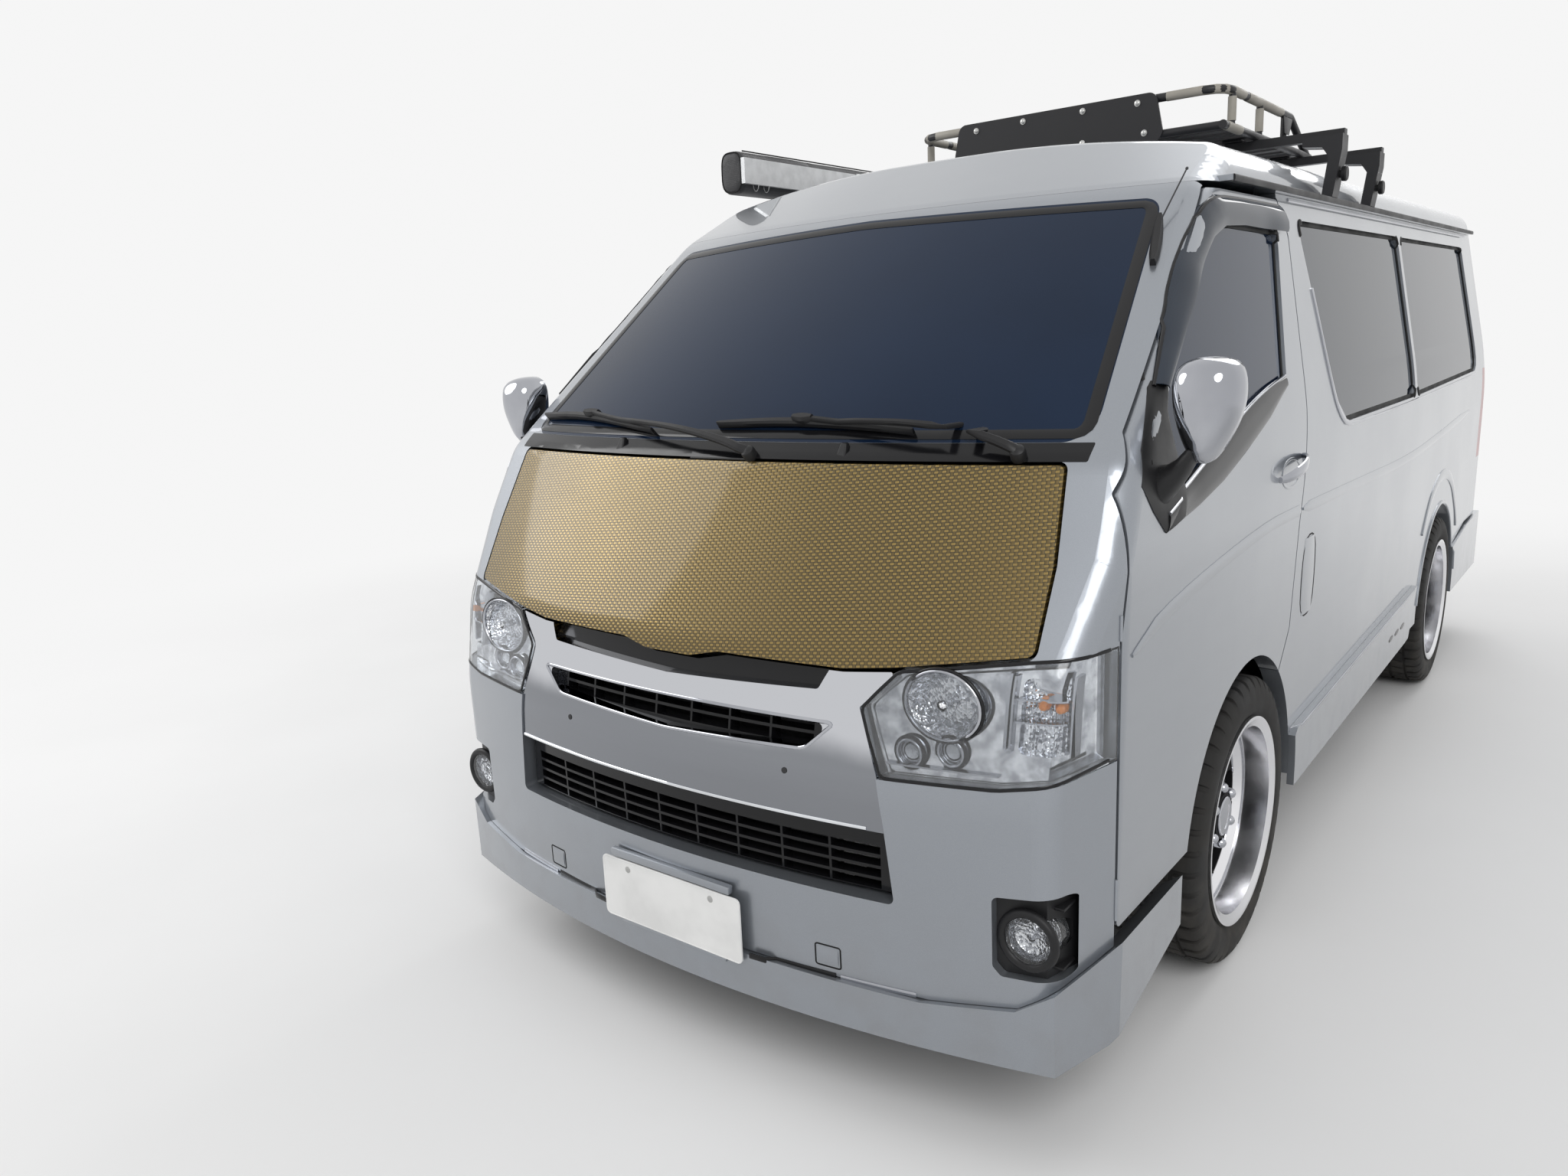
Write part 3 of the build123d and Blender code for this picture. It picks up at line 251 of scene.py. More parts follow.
def tube(name: str, points: Sequence[Point], radius: float, closed: bool = False, sides: int = 8) -> Piece:
    """A round bar along a chain of points.

    Args:
        name: Name of the piece.
        points: The chain in metres.
        radius: Bar radius in metres.
        closed: Whether the chain comes back to its start.
        sides: How finely the bar is rounded, more being rounder.

    Returns:
        The new mesh object.
    """
    deselect()
    bpy.ops.curve.primitive_nurbs_path_add(location=(0, 0, 0))
    path = named(name)
    curve = path.data
    curve.splines.clear()
    line = curve.splines.new("POLY")
    line.points.add(len(points) - 1)
    for slot, point in zip(line.points, points):
        slot.co = (*point, 1.0)
    line.use_cyclic_u = closed
    curve.dimensions = "3D"
    curve.bevel_depth = radius
    curve.bevel_resolution = max(1, sides // 4)
    curve.use_fill_caps = True
    pick(path)
    bpy.ops.object.convert(target="MESH")
    return smooth(outward(bpy.context.object), 60)


def plate(name: str, outline: Sequence[Point], thick: Point) -> Piece:
    """A flat plate: an outline pulled out by a vector.

    Args:
        name: Name of the piece.
        outline: Corners in order, in metres.
        thick: The vector that the outline is extruded by, in metres.

    Returns:
        The new closed mesh object.
    """
    deselect()
    bpy.ops.mesh.primitive_circle_add(vertices=len(outline), radius=1.0, fill_type="NGON", location=(0, 0, 0))
    piece = named(name)
    for vertex, point in zip(piece.data.vertices, outline):
        vertex.co = point
    edit(piece)
    bpy.ops.mesh.extrude_region_move(TRANSFORM_OT_translate={"value": thick})
    bpy.ops.mesh.select_all(action="SELECT")
    bpy.ops.mesh.normals_make_consistent(inside=False)
    bpy.ops.object.mode_set(mode="OBJECT")
    return piece


# Shader building blocks


class Nodes:
    """A thin wrapper round one material's or group's node tree."""

    def __init__(self, tree: bpy.types.NodeTree) -> None:
        """Keeps the tree that nodes are added to."""
        self.tree = tree

    def fill(self, node: bpy.types.Node, values: dict) -> bpy.types.Node:
        """Gives a node's inputs their values.

        Args:
            node: The node.
            values: For each input's name or number, a socket to link, a number or a colour.

        Returns:
            The same node.
        """
        for key, value in values.items():
            if isinstance(value, bpy.types.NodeSocket):
                self.tree.links.new(value, node.inputs[key])
            elif isinstance(value, tuple):
                node.inputs[key].default_value = (*value, 1.0)
            else:
                node.inputs[key].default_value = float(value)
        return node

    def add(self, kind: str, values: Optional[dict] = None, **properties: object) -> bpy.types.Node:
        """A new node with its inputs filled and its properties set."""
        node = self.tree.nodes.new(kind)
        for key, value in properties.items():
            setattr(node, key, value)
        return self.fill(node, values or {})

    def math(self, operation: str, first: object, second: object = 0.0, clamp: bool = False) -> Socket:
        """A maths node on two sockets or numbers, and its result."""
        values = {0: first, 1: second}
        return self.add("ShaderNodeMath", values, operation=operation, use_clamp=clamp).outputs[0]

    def blend(self, factor: object, first: object, second: object) -> Socket:
        """A colour mix of two sockets or colours, and its result."""
        node = self.add("ShaderNodeMix", data_type="RGBA")
        return self.fill(node, {0: factor, 6: first, 7: second}).outputs[2]

    def ramp(self, value: Socket, low: float, high: float) -> Socket:
        """A smooth step from 0 at low to 1 at high."""
        values = {0: value, 1: low, 2: high}
        return self.add("ShaderNodeMapRange", values, interpolation_type="SMOOTHSTEP").outputs[0]

    def bump(self, shader: bpy.types.Node, height: Socket, strength: float, distance: float) -> None:
        """Feeds a height into a shader's normal."""
        values = {"Strength": strength, "Distance": distance, "Height": height}
        self.fill(shader, {"Normal": self.add("ShaderNodeBump", values).outputs[0]})

    def position(self) -> tuple[Socket, object]:
        """The Object coordinates of the shaded point, whole and as three."""
        whole = self.add("ShaderNodeTexCoord").outputs["Object"]
        return whole, self.add("ShaderNodeSeparateXYZ", {0: whole}).outputs

    def group(self, shared: bpy.types.NodeTree, **values: object) -> bpy.types.NodeOutputs:
        """The outputs of a shared group, placed here with its own values."""
        return self.fill(self.add("ShaderNodeGroup", node_tree=shared), values).outputs


def new_group(name: str, inputs: dict[str, float],
              outputs: Sequence[str]) -> tuple[bpy.types.NodeTree, Nodes, object, bpy.types.Node]:
    """An empty shader node group with named number sockets.

    Args:
        name: Name of the group.
        inputs: Name and default value of each input.
        outputs: Name of each output.

    Returns:
        The group, a wrapper round it, its input node's sockets and its output node.
    """
    group = bpy.data.node_groups.new(name, "ShaderNodeTree")
    for label, value in inputs.items():
        socket = group.interface.new_socket(label, in_out="INPUT", socket_type="NodeSocketFloat")
        socket.default_value = value
    for label in outputs:
        group.interface.new_socket(label, in_out="OUTPUT", socket_type="NodeSocketFloat")
    nodes = Nodes(group)
    entry = nodes.add("NodeGroupInput")
    return group, nodes, entry.outputs, nodes.add("NodeGroupOutput")


class Effects:
    """The shader node groups that more than one finish uses."""

    def __init__(self) -> None:
        """Builds the groups once."""
        self.variation = self._variation()
        self.dust = self._dust()
        self.weave = self._weave()
        self.cloth = self._cloth()

    @staticmethod
    def _variation() -> bpy.types.NodeTree:
        """Soft uneven patches, for gloss and tone that aren't the same all over."""
        group, nodes, entry, leave = new_group(
            "soft variation", {"Scale": 3.0, "Low": 0.2, "High": 0.3}, ("Value", "Mask")
        )
        point, _ = nodes.position()
        noise = nodes.add("ShaderNodeTexNoise", {"Vector": point, "Scale": entry["Scale"], "Detail": 4.0})
        mask = nodes.ramp(noise.outputs["Fac"], 0.3, 0.7)
        spread = nodes.math("SUBTRACT", entry["High"], entry["Low"])
        value = nodes.math("ADD", nodes.math("MULTIPLY", mask, spread), entry["Low"])
        nodes.fill(leave, {"Value": value, "Mask": mask})
        return group

    @staticmethod
    def _dust() -> bpy.types.NodeTree:
        """Road dust that thickens towards the ground."""
        group, nodes, entry, leave = new_group("road dust", {"Top": 0.6, "Amount": 0.3}, ("Mask",))
        point, axes = nodes.position()
        noise = nodes.add("ShaderNodeTexNoise", {"Vector": point, "Scale": 14.0, "Detail": 6.0})
        height = nodes.math("DIVIDE", axes["Z"], entry["Top"])
        fade = nodes.math("SUBTRACT", 1.0, height, clamp=True)
        spots = nodes.ramp(noise.outputs["Fac"], 0.35, 0.75)
        mask = nodes.math("MULTIPLY", nodes.math("MULTIPLY", fade, spots), entry["Amount"])
        nodes.fill(leave, {"Mask": mask})
        return group

    @staticmethod
    def _weave() -> bpy.types.NodeTree:
        """A plain weave of two crossing tows, as a mask of over and under and a height."""
        group, nodes, entry, leave = new_group(
            "crossed weave", {"First": 0.0, "Second": 0.0, "Pitch": 0.01}, ("Over", "Height")
        )
        first = nodes.math("DIVIDE", entry["First"], entry["Pitch"])
        second = nodes.math("DIVIDE", entry["Second"], entry["Pitch"])
        cell = nodes.math("ADD", nodes.math("FLOOR", first), nodes.math("FLOOR", second))
        over = nodes.math("ABSOLUTE", nodes.math("MODULO", cell, 2.0))
        over = nodes.math("MINIMUM", over, 1.0)
        u = nodes.math("FRACT", first)
        v = nodes.math("FRACT", second)
        arch_u = nodes.math("SINE", nodes.math("MULTIPLY", u, math.pi))
        arch_v = nodes.math("SINE", nodes.math("MULTIPLY", v, math.pi))
        under = nodes.math("SUBTRACT", 1.0, over)
        high, low = nodes.math("MULTIPLY", arch_u, over), nodes.math("MULTIPLY", arch_v, under)
        height = nodes.math("ADD", high, low)
        nodes.fill(leave, {"Over": over, "Height": height})
        return group

    @staticmethod
    def _cloth() -> bpy.types.NodeTree:
        """Fine threads, as a height."""
        group, nodes, entry, leave = new_group("fine cloth", {"Scale": 900.0}, ("Height",))
        _, axes = nodes.position()
        along, across, wide = (
            nodes.math("SINE", nodes.math("MULTIPLY", axes[axis], entry["Scale"])) for axis in "YZX"
        )
        height = nodes.math("ADD", nodes.math("MULTIPLY", along, across), wide)
        nodes.fill(leave, {"Height": height})
        return group


EFFECTS: list[Effects] = []


def effects() -> Effects:
    """The shared node groups, made on first use."""
    if not EFFECTS:
        EFFECTS.append(Effects())
    return EFFECTS[0]


def start_material(name: str) -> tuple[bpy.types.Material, Nodes, bpy.types.Node]:
    """A new material with its wrapper and its Principled shader."""
    material = bpy.data.materials.new(name)
    material.use_nodes = True
    nodes = Nodes(material.node_tree)
    return material, nodes, material.node_tree.nodes["Principled BSDF"]


# Finishes


@dataclass(frozen=True)
class Finish:
    """What every kind of finish has in common: a name, and a material that it shades."""

    name: str

    def build(self) -> bpy.types.Material:
        """The finished material."""
        material, nodes, shader = start_material(self.name)
        self.shade(nodes, shader)
        return material

    def shade(self, nodes: Nodes, shader: bpy.types.Node) -> None:
        """Adds the nodes of this kind of finish and feeds them into the shader."""
        raise NotImplementedError


@dataclass(frozen=True)
class Paint(Finish):
    """Metallic or plain lacquer with a clear coat."""

    colour: Colour
    flake: float = 0.08
    metallic: float = 0.75
    rough: tuple[float, float] = (0.30, 0.38)
    coat: float = 1.0
    dust: float = 0.25
    dust_top: float = 0.55

    def shade(self, nodes: Nodes, shader: bpy.types.Node) -> None:
        """Adds the nodes and feeds them into the shader."""
        point, _ = nodes.position()
        cells = nodes.add("ShaderNodeTexVoronoi", {"Vector": point, "Scale": 2600.0})
        fleck = nodes.add("ShaderNodeSeparateColor", {0: cells.outputs["Color"]})
        dark = tuple(c * (1 - self.flake) for c in self.colour)
        light = tuple(min(c * (1 + self.flake), 1.0) for c in self.colour)
        lacquer = nodes.blend(fleck.outputs[0], dark, light)
        patches = nodes.group(effects().variation, Scale=2.2, Low=self.rough[0], High=self.rough[1])
        dirt = nodes.group(effects().dust, Top=self.dust_top, Amount=self.dust)
        nodes.fill(shader, {
            "Base Color": nodes.blend(dirt["Mask"], lacquer, (0.20, 0.18, 0.15)),
            "Roughness": nodes.math("ADD", patches["Value"], nodes.math("MULTIPLY", dirt["Mask"], 0.5)),
            "Metallic": self.metallic, "Coat Weight": self.coat, "Coat Roughness": 0.04,
        })


@dataclass(frozen=True)
class Plain(Finish):
    """Plastic, rubber, bare metal or chrome, with uneven gloss and a fine grain."""

    colour: Colour
    second: Optional[Colour] = None
    metallic: float = 0.0
    rough: tuple[float, float] = (0.35, 0.5)
    grain: float = 0.0
    grain_scale: float = 900.0
    patch: float = 9.0
    dust: float = 0.0
    dust_top: float = 0.55
    shine: float = 0.5
    facets: float = 0.0

    def shade(self, nodes: Nodes, shader: bpy.types.Node) -> None:
        """Adds the nodes and feeds them into the shader."""
        patches = nodes.group(effects().variation, Scale=self.patch, Low=self.rough[0], High=self.rough[1])
        other = self.second or tuple(c * 0.86 for c in self.colour)
        colour = nodes.blend(patches["Mask"], self.colour, other)
        rough = patches["Value"]
        if self.dust:
            dirt = nodes.group(effects().dust, Top=self.dust_top, Amount=self.dust)
            colour = nodes.blend(dirt["Mask"], colour, (0.21, 0.19, 0.16))
            rough = nodes.math("ADD", rough, nodes.math("MULTIPLY", dirt["Mask"], 0.4))
        nodes.fill(shader, {
            "Base Color": colour, "Roughness": rough, "Metallic": self.metallic,
            "Specular IOR Level": self.shine,
        })
        # Painted reflection: facets of differing tone stand in for what mirror facets would reflect.
        if self.facets:
            self._facet(nodes, shader, colour)
        if self.grain:
            point, _ = nodes.position()
            noise = nodes.add("ShaderNodeTexNoise", {"Vector": point, "Scale": self.grain_scale})
            nodes.bump(shader, noise.outputs["Fac"], self.grain, 0.0005)

    def _facet(self, nodes: Nodes, shader: bpy.types.Node, colour: object) -> None:
        """Small mirror facets of differing tilt, as in a lamp's reflector, with a painted reflection: each
        facet is given a darker or lighter tone.
        """
        point, _ = nodes.position()
        cells = nodes.add("ShaderNodeTexVoronoi", {"Vector": point, "Scale": self.facets}, feature="F1")
        tone = nodes.add("ShaderNodeSeparateColor", {0: cells.outputs["Color"]})
        level = nodes.ramp(tone.outputs[0], 0.1, 0.75)
        # Painted reflection: each facet's colour lies between a dark grey and the bright metal colour.
        nodes.fill(shader, {"Base Color": nodes.blend(level, (0.34, 0.35, 0.38), colour)})
        nodes.bump(shader, cells.outputs["Distance"], 0.6, 0.002)


@dataclass(frozen=True)
class Wrap(Finish):
    """Gold basket-weave film under gloss, with dark edge lines."""

    gold: Colour
    dark: Colour
    gap: Colour = (0.010, 0.012, 0.008)
    pitch: float = 0.0074

    def shade(self, nodes: Nodes, shader: bpy.types.Node) -> None:
        """Adds the nodes and feeds them into the shader."""
        _, axes = nodes.position()
        slope = nodes.math("MULTIPLY", axes["Z"], 1.3)
        first = nodes.math("ADD", axes["X"], nodes.math("MULTIPLY", slope, 0.12))
        second = nodes.math("SUBTRACT", slope, nodes.math("MULTIPLY", axes["X"], 0.12))
        weave = nodes.group(effects().weave, First=first, Second=second, Pitch=self.pitch)
        patches = nodes.group(effects().variation, Scale=2.5, Low=0.22, High=0.34)
        tow = nodes.blend(weave["Over"], self.gold, self.dark)
        tow = nodes.blend(nodes.ramp(weave["Height"], 0.18, 0.72), self.gap, tow)
        nodes.fill(shader, {
            "Base Color": nodes.blend(nodes.math("MULTIPLY", patches["Mask"], 0.35), tow, self.dark),
            "Roughness": patches["Value"], "Metallic": 0.65, "Coat Weight": 0.4, "Coat Roughness": 0.08,
        })
        nodes.bump(shader, weave["Height"], 0.35, 0.001)


@dataclass(frozen=True)
class TintedGlass(Finish):
    """Tinted window glass, dark enough to mirror the room and let the inside show faintly."""

    tint: Colour
    see_through: float = 0.35
    rough: float = 0.02
    shine: float = 0.5
    shine_tint: Colour = (1.0, 1.0, 1.0)

    def shade(self, nodes: Nodes, shader: bpy.types.Node) -> None:
        """Adds the nodes and feeds them into the shader."""
        patches = nodes.group(effects().variation, Scale=1.5, Low=self.rough, High=self.rough + 0.02)
        deep = tuple(c * 0.7 for c in self.tint)
        nodes.fill(shader, {
            "Base Color": nodes.blend(patches["Mask"], self.tint, deep), "Roughness": patches["Value"],
            "Transmission Weight": self.see_through, "IOR": 1.45, "Metallic": 0.0,
            "Specular IOR Level": self.shine, "Specular Tint": self.shine_tint,
        })


@dataclass(frozen=True)
class Cloth(Finish):
    """Woven cloth with soft uneven tone."""

    colour: Colour
    second: Colour
    threads: float = 1400.0
    rough: tuple[float, float] = (0.75, 0.9)

    def shade(self, nodes: Nodes, shader: bpy.types.Node) -> None:
        """Adds the nodes and feeds them into the shader."""
        patches = nodes.group(effects().variation, Scale=6.0, Low=self.rough[0], High=self.rough[1])
        nodes.fill(shader, {
            "Base Color": nodes.blend(patches["Mask"], self.colour, self.second),
            "Roughness": patches["Value"], "Sheen Weight": 0.2,
        })
        threads = nodes.group(effects().cloth, Scale=self.threads)
        nodes.bump(shader, threads["Height"], 0.3, 0.0006)


@dataclass(frozen=True)
class FaceChrome(Finish):
    """The grille's chrome, with a painted reflection: darker on the broad lower face than on the bar above
    it.
    """

    # Painted reflection: bar is the lighter tone painted on the upper bar, face the darker tone painted on
    # the lower face, change the height band between them.
    bar: Colour = (0.58, 0.59, 0.62)
    face: Colour = (0.25, 0.26, 0.28)
    change: tuple[float, float] = (0.74, 0.80)

    def shade(self, nodes: Nodes, shader: bpy.types.Node) -> None:
        """Adds the nodes and feeds them into the shader."""
        _, axes = nodes.position()
        patches = nodes.group(effects().variation, Scale=4.0, Low=0.03, High=0.07)
        height = nodes.math("ADD", axes["Z"], nodes.math("MULTIPLY", patches["Mask"], 0.02))
        # Painted reflection: the colour ramps with height from the dark face tone to the bright bar tone.
        nodes.fill(shader, {
            "Base Color": nodes.blend(nodes.ramp(height, *self.change), self.face, self.bar),
            "Roughness": patches["Value"], "Metallic": 1.0,
        })


@dataclass(frozen=True)
class WheelFinish(Finish):
    """A black centre inside a polished lip, told apart by the distance from the axle."""

    lip_radius: float = 0.196
    polish: Colour = (0.80, 0.80, 0.82)
    black: Colour = (0.012, 0.012, 0.013)

    def shade(self, nodes: Nodes, shader: bpy.types.Node) -> None:
        """Adds the nodes and feeds them into the shader."""
        _, axes = nodes.position()
        high = nodes.math("POWER", nodes.math("SUBTRACT", axes["Z"], 0.341), 2.0)
        fore = nodes.math("ABSOLUTE", nodes.math("ADD", axes["Y"], 0.02))
        front = nodes.math("SUBTRACT", fore, 1.285)
        reach = nodes.math("SQRT", nodes.math("ADD", high, nodes.math("POWER", front, 2.0)))
        mask = nodes.ramp(reach, self.lip_radius - 0.001, self.lip_radius + 0.001)
        patches = nodes.group(effects().variation, Scale=12.0, Low=0.16, High=0.26)
        duller = nodes.math("MULTIPLY", nodes.math("SUBTRACT", 1.0, mask), 0.35)
        nodes.fill(shader, {
            "Base Color": nodes.blend(mask, self.black, self.polish), "Metallic": mask,
            "Specular IOR Level": 0.06, "Roughness": nodes.math("ADD", patches["Value"], duller),
        })


class Palette:
    """Every finish of the van, built once and found by name."""

    FINISHES = (
        Paint("silver lacquer", (0.285, 0.305, 0.335)),
        Plain("underbody coat", (0.025, 0.025, 0.027), rough=(0.6, 0.8), grain=0.4, dust=0.5),
        Plain("bright chrome", (0.50, 0.51, 0.54), (0.36, 0.37, 0.40), metallic=1.0, rough=(0.03, 0.07),
              patch=4.0),
        # Grille chrome with a painted reflection, darker below and lighter above.
        FaceChrome("face chrome"),
        Plain("black plastic", (0.012, 0.012, 0.013), rough=(0.38, 0.5), grain=0.25, shine=0.3),
        Plain("gloss black", (0.006, 0.006, 0.007), rough=(0.10, 0.18), shine=0.32),
        Plain("rubber seal", (0.008, 0.008, 0.008), rough=(0.55, 0.7), grain=0.2, shine=0.2),
        Plain("tyre rubber", (0.016, 0.016, 0.016), (0.022, 0.021, 0.020), rough=(0.62, 0.8), grain=0.35,
              dust=0.22, shine=0.25),
        # Lamp reflector with painted reflections: patches of the much darker second tone stand in for dark
        # reflections on the bright metal.
        Plain("lamp reflector", (0.90, 0.91, 0.93), (0.42, 0.43, 0.46), metallic=1.0, rough=(0.05, 0.12),
              patch=34.0),
        # Lamp facets carry painted reflections: each facet gets a darker or lighter tone.
        Plain("lamp facets", (0.92, 0.93, 0.95), metallic=1.0, rough=(0.05, 0.12), facets=190.0),
        Plain("mirror glass", (0.80, 0.82, 0.85), metallic=1.0, rough=(0.01, 0.03), patch=5.0),
        Plain("lamp red", (0.35, 0.006, 0.008), rough=(0.06, 0.12)),
        Plain("lamp amber", (0.85, 0.26, 0.02), rough=(0.08, 0.14)),
        Plain("plate white", (0.78, 0.78, 0.77), rough=(0.35, 0.45)),
        Plain("rack coat", (0.016, 0.016, 0.018), rough=(0.36, 0.5), grain=0.15, shine=0.35),
        Plain("rail aluminium", (0.62, 0.63, 0.64), metallic=0.9, rough=(0.3, 0.42), patch=30.0),
        Plain("zinc steel", (0.48, 0.48, 0.47), metallic=1.0, rough=(0.3, 0.45)),
        Plain("dark steel", (0.05, 0.05, 0.052), metallic=0.6, rough=(0.5, 0.7), grain=0.3, dust=0.4),
        Plain("exhaust steel", (0.23, 0.21, 0.19), metallic=0.9, rough=(0.4, 0.6)),
        Plain("cast iron", (0.10, 0.10, 0.105), metallic=0.7, rough=(0.5, 0.7), grain=0.5),
        Plain("trim grey", (0.09, 0.09, 0.095), rough=(0.55, 0.7), grain=0.3),
        Plain("sleeve beige", (0.33, 0.31, 0.27), rough=(0.5, 0.65), grain=0.2),
        Wrap("gold weave", (0.30, 0.205, 0.060), (0.125, 0.086, 0.028)),
        TintedGlass("screen tint", (0.008, 0.019, 0.046), 0.22, shine=0.32, shine_tint=(0.38, 0.54, 0.88)),
        TintedGlass("window tint", (0.020, 0.027, 0.038), 0.20, shine=0.36, shine_tint=(0.70, 0.80, 0.95)),
        TintedGlass("lamp clear", (0.92, 0.94, 0.96), 0.97),
        TintedGlass("visor smoke", (0.022, 0.036, 0.060), 0.30, 0.05),
        Cloth("seat cloth", (0.05, 0.05, 0.055), (0.08, 0.08, 0.085)),
        Cloth("bag cloth", (0.014, 0.014, 0.016), (0.024, 0.024, 0.027), threads=1800.0, rough=(0.5, 0.7)),
        WheelFinish("dished wheel"),
    )

    def __init__(self) -> None:
        """Starts with no material made."""
        self._made: dict[str, bpy.types.Material] = {}

    def get(self, name: str) -> bpy.types.Material:
        """The material of a finish, made on first use."""
        if name not in self._made:
            finish = next(item for item in self.FINISHES if item.name == name)
            self._made[name] = finish.build()
        return self._made[name]

    def dress(self, piece: Piece, name: str) -> Piece:
        """Gives a piece one finish all over."""
        piece.data.materials.clear()
        piece.data.materials.append(self.get(name))
        return piece


@dataclass
class Workshop:
    """What every sub-assembly needs: the palette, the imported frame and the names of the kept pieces."""

    palette: Palette
    frame: dict
    made: list[str] = field(default_factory=list)

    def keep(self, piece: Piece, finish: str, body: str = "van_body") -> Piece:
        """Dresses a new piece and makes it ride on a body.

        Args:
            piece: The new mesh object.
            finish: Name of its finish.
            body: The CAD body that carries it.

        Returns:
            The same object.
        """
        self.palette.dress(piece, finish)
        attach(piece, body)
        self.made.append(piece.name)
        return piece


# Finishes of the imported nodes

NODE_FINISHES = {
    "silver lacquer": (
        "door_left", "door_right", "front_pillars", "front_bumper", "front_lip", "roof_panel",
        "side_panel_left", "side_panel_right", "sliding_door", "tailgate", "rear_bumper", "side_skirts",
    ),
    "gold weave": ("bonnet",),
    "face chrome": ("grille_chrome",),
    "bright chrome": ("mirror_left", "mirror_right"),
    "gloss black": ("grille_black", "cowl"),
    "black plastic": ("fog_bezels", "steering_wheel"),
    "trim grey": ("dashboard", "firewall"),
    "underbody coat": ("floor_pan",),
    "screen tint": ("windscreen", "door_glass_left", "door_glass_right"),
    "window tint": ("side_glass", "tailgate_glass"),
    "lamp clear": ("headlamps", "fog_lamps"),
    "lamp reflector": ("headlamp_housings",),
    "lamp red": ("tail_lamps",),
    "tyre rubber": ("tyre_front_left", "tyre_front_right", "tyre_rear_left", "tyre_rear_right"),
    "dished wheel": ("rim_front_left", "rim_front_right", "rim_rear_left", "rim_rear_right"),
    "dark steel": (
        "front_suspension", "knuckle_left", "knuckle_right", "rear_axle", "fuel_tank", "seat_frames",
        "radiator",
    ),
    "cast iron": ("engine_block",),
    "exhaust steel": ("exhaust",),
    "rack coat": ("crossbars", "roof_basket", "wind_deflector"),
    "rail aluminium": ("awning_rail",),
    "plate white": ("number_plates",),
    "bag cloth": ("awning_bag",),
    "seat cloth": ("seats",),
}


def dress_nodes(shop: Workshop) -> None:
    """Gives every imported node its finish."""
    for finish, names in NODE_FINISHES.items():
        for name in names:
            shop.palette.dress(shop.frame["nodes"][name], finish)


# Shapes laid on the van's own skin


def loft(name: str, rings: Sequence[Sequence[Point]], closed: bool = False) -> Piece:
    """A closed form through a row of rings.

    Args:
        name: Name of the piece.
        rings: Rings of equally many points, in metres.
        closed: Whether the last ring joins the first.

    Returns:
        The new mesh object, its ends filled and its faces outwards.
    """
    rows = [[*ring, ring[0]] for ring in rings]
    if closed:
        rows.append(rows[0])
    deselect()
    bpy.ops.mesh.primitive_grid_add(
        x_subdivisions=len(rows[0]) - 1, y_subdivisions=len(rows) - 1, size=1.0, location=(0, 0, 0)
    )
    piece = named(name)
    for vertex, point in zip(piece.data.vertices, (point for row in rows for point in row)):
        vertex.co = point
    edit(piece)
    bpy.ops.mesh.remove_doubles(threshold=0.000001)
    if not closed:
        bpy.ops.mesh.select_all(action="SELECT")
        bpy.ops.mesh.fill_holes(sides=0)
    bpy.ops.mesh.select_all(action="SELECT")
    bpy.ops.mesh.normals_make_consistent(inside=False)
    bpy.ops.object.mode_set(mode="OBJECT")
    return smooth(piece, 35)


def circle(count: int) -> Path:
    """The cosine and sine of even steps round a circle."""
    angles = [2 * math.pi * step / count for step in range(count)]
    return [(math.cos(angle), math.sin(angle)) for angle in angles]


def spun(name: str, centre: Point, profile: Path, axis: Point, steps: int = 32) -> Piece:
    """A turned piece: a profile spun once round an axis.

    Args:
        name: Name of the piece.
        centre: A point on the axis, in metres.
        profile: Distance along the axis and radius of each step, in metres, from end to end.
        axis: Direction of the axis.
        steps: Number of steps round.

    Returns:
        The new closed mesh object.
    """
    line = Vector(axis).normalized()
    first = line.orthogonal().normalized()
    second = line.cross(first)
    middle = Vector(centre)
    rings = []
    for along, radius in profile:
        rings.append([middle + line * along + (first * cosine + second * sine) * max(radius, LEAST_RADIUS)
                      for cosine, sine in circle(steps)])
    return loft(name, rings)


def hoop(centre: Point, turn: Point, radii: tuple[float, float], steps: tuple[int, int]) -> Piece:
    """A round bar bent into a ring.

    Args:
        centre: Its centre in metres.
        turn: How it is turned from lying flat, in radians about each axis.
        radii: The ring's radius and the bar's, in metres.
        steps: Steps round the ring and round the bar.

    Returns:
        The new closed mesh object.
    """
    deselect()
    bpy.ops.mesh.primitive_torus_add(
        location=centre, rotation=turn, major_radius=radii[0], minor_radius=radii[1], major_segments=steps[0],
        minor_segments=steps[1],
    )
    return named("hoop")


def resample(path: Path, step: float, closed: bool = False) -> Path:
    """Fills a path with points so that no two are far apart.

    Args:
        path: Corners in millimetres.
        step: Largest distance between two points.
        closed: Whether the path comes back to its start.

    Returns:
        The denser path.
    """
    corners = [*path, path[0]] if closed else list(path)
    dense = []
    for (a, b), (c, d) in zip(corners, corners[1:]):
        count = max(1, math.ceil(math.hypot(c - a, d - b) / step))
        dense.extend((a + (c - a) * k / count, b + (d - b) * k / count) for k in range(count))
    return dense if closed else [*dense, corners[-1]]


def soften(path: Path, rounds: int = 2, closed: bool = False) -> Path:
    """Cuts the corners of a path round, a few times over.

    Args:
        path: Corners in millimetres.
        rounds: How many times the corners are cut.
        closed: Whether the path comes back to its start.

    Returns:
        The rounder path.
    """
    points = list(path)
    for _ in range(rounds):
        pairs = list(zip(points, points[1:])) + ([(points[-1], points[0])] if closed else [])
        cut = []
        for (a, b), (c, d) in pairs:
            cut.append((0.75 * a + 0.25 * c, 0.75 * b + 0.25 * d))
            cut.append((0.25 * a + 0.75 * c, 0.25 * b + 0.75 * d))
        points = cut if closed else [points[0], *cut, points[-1]]
    return points


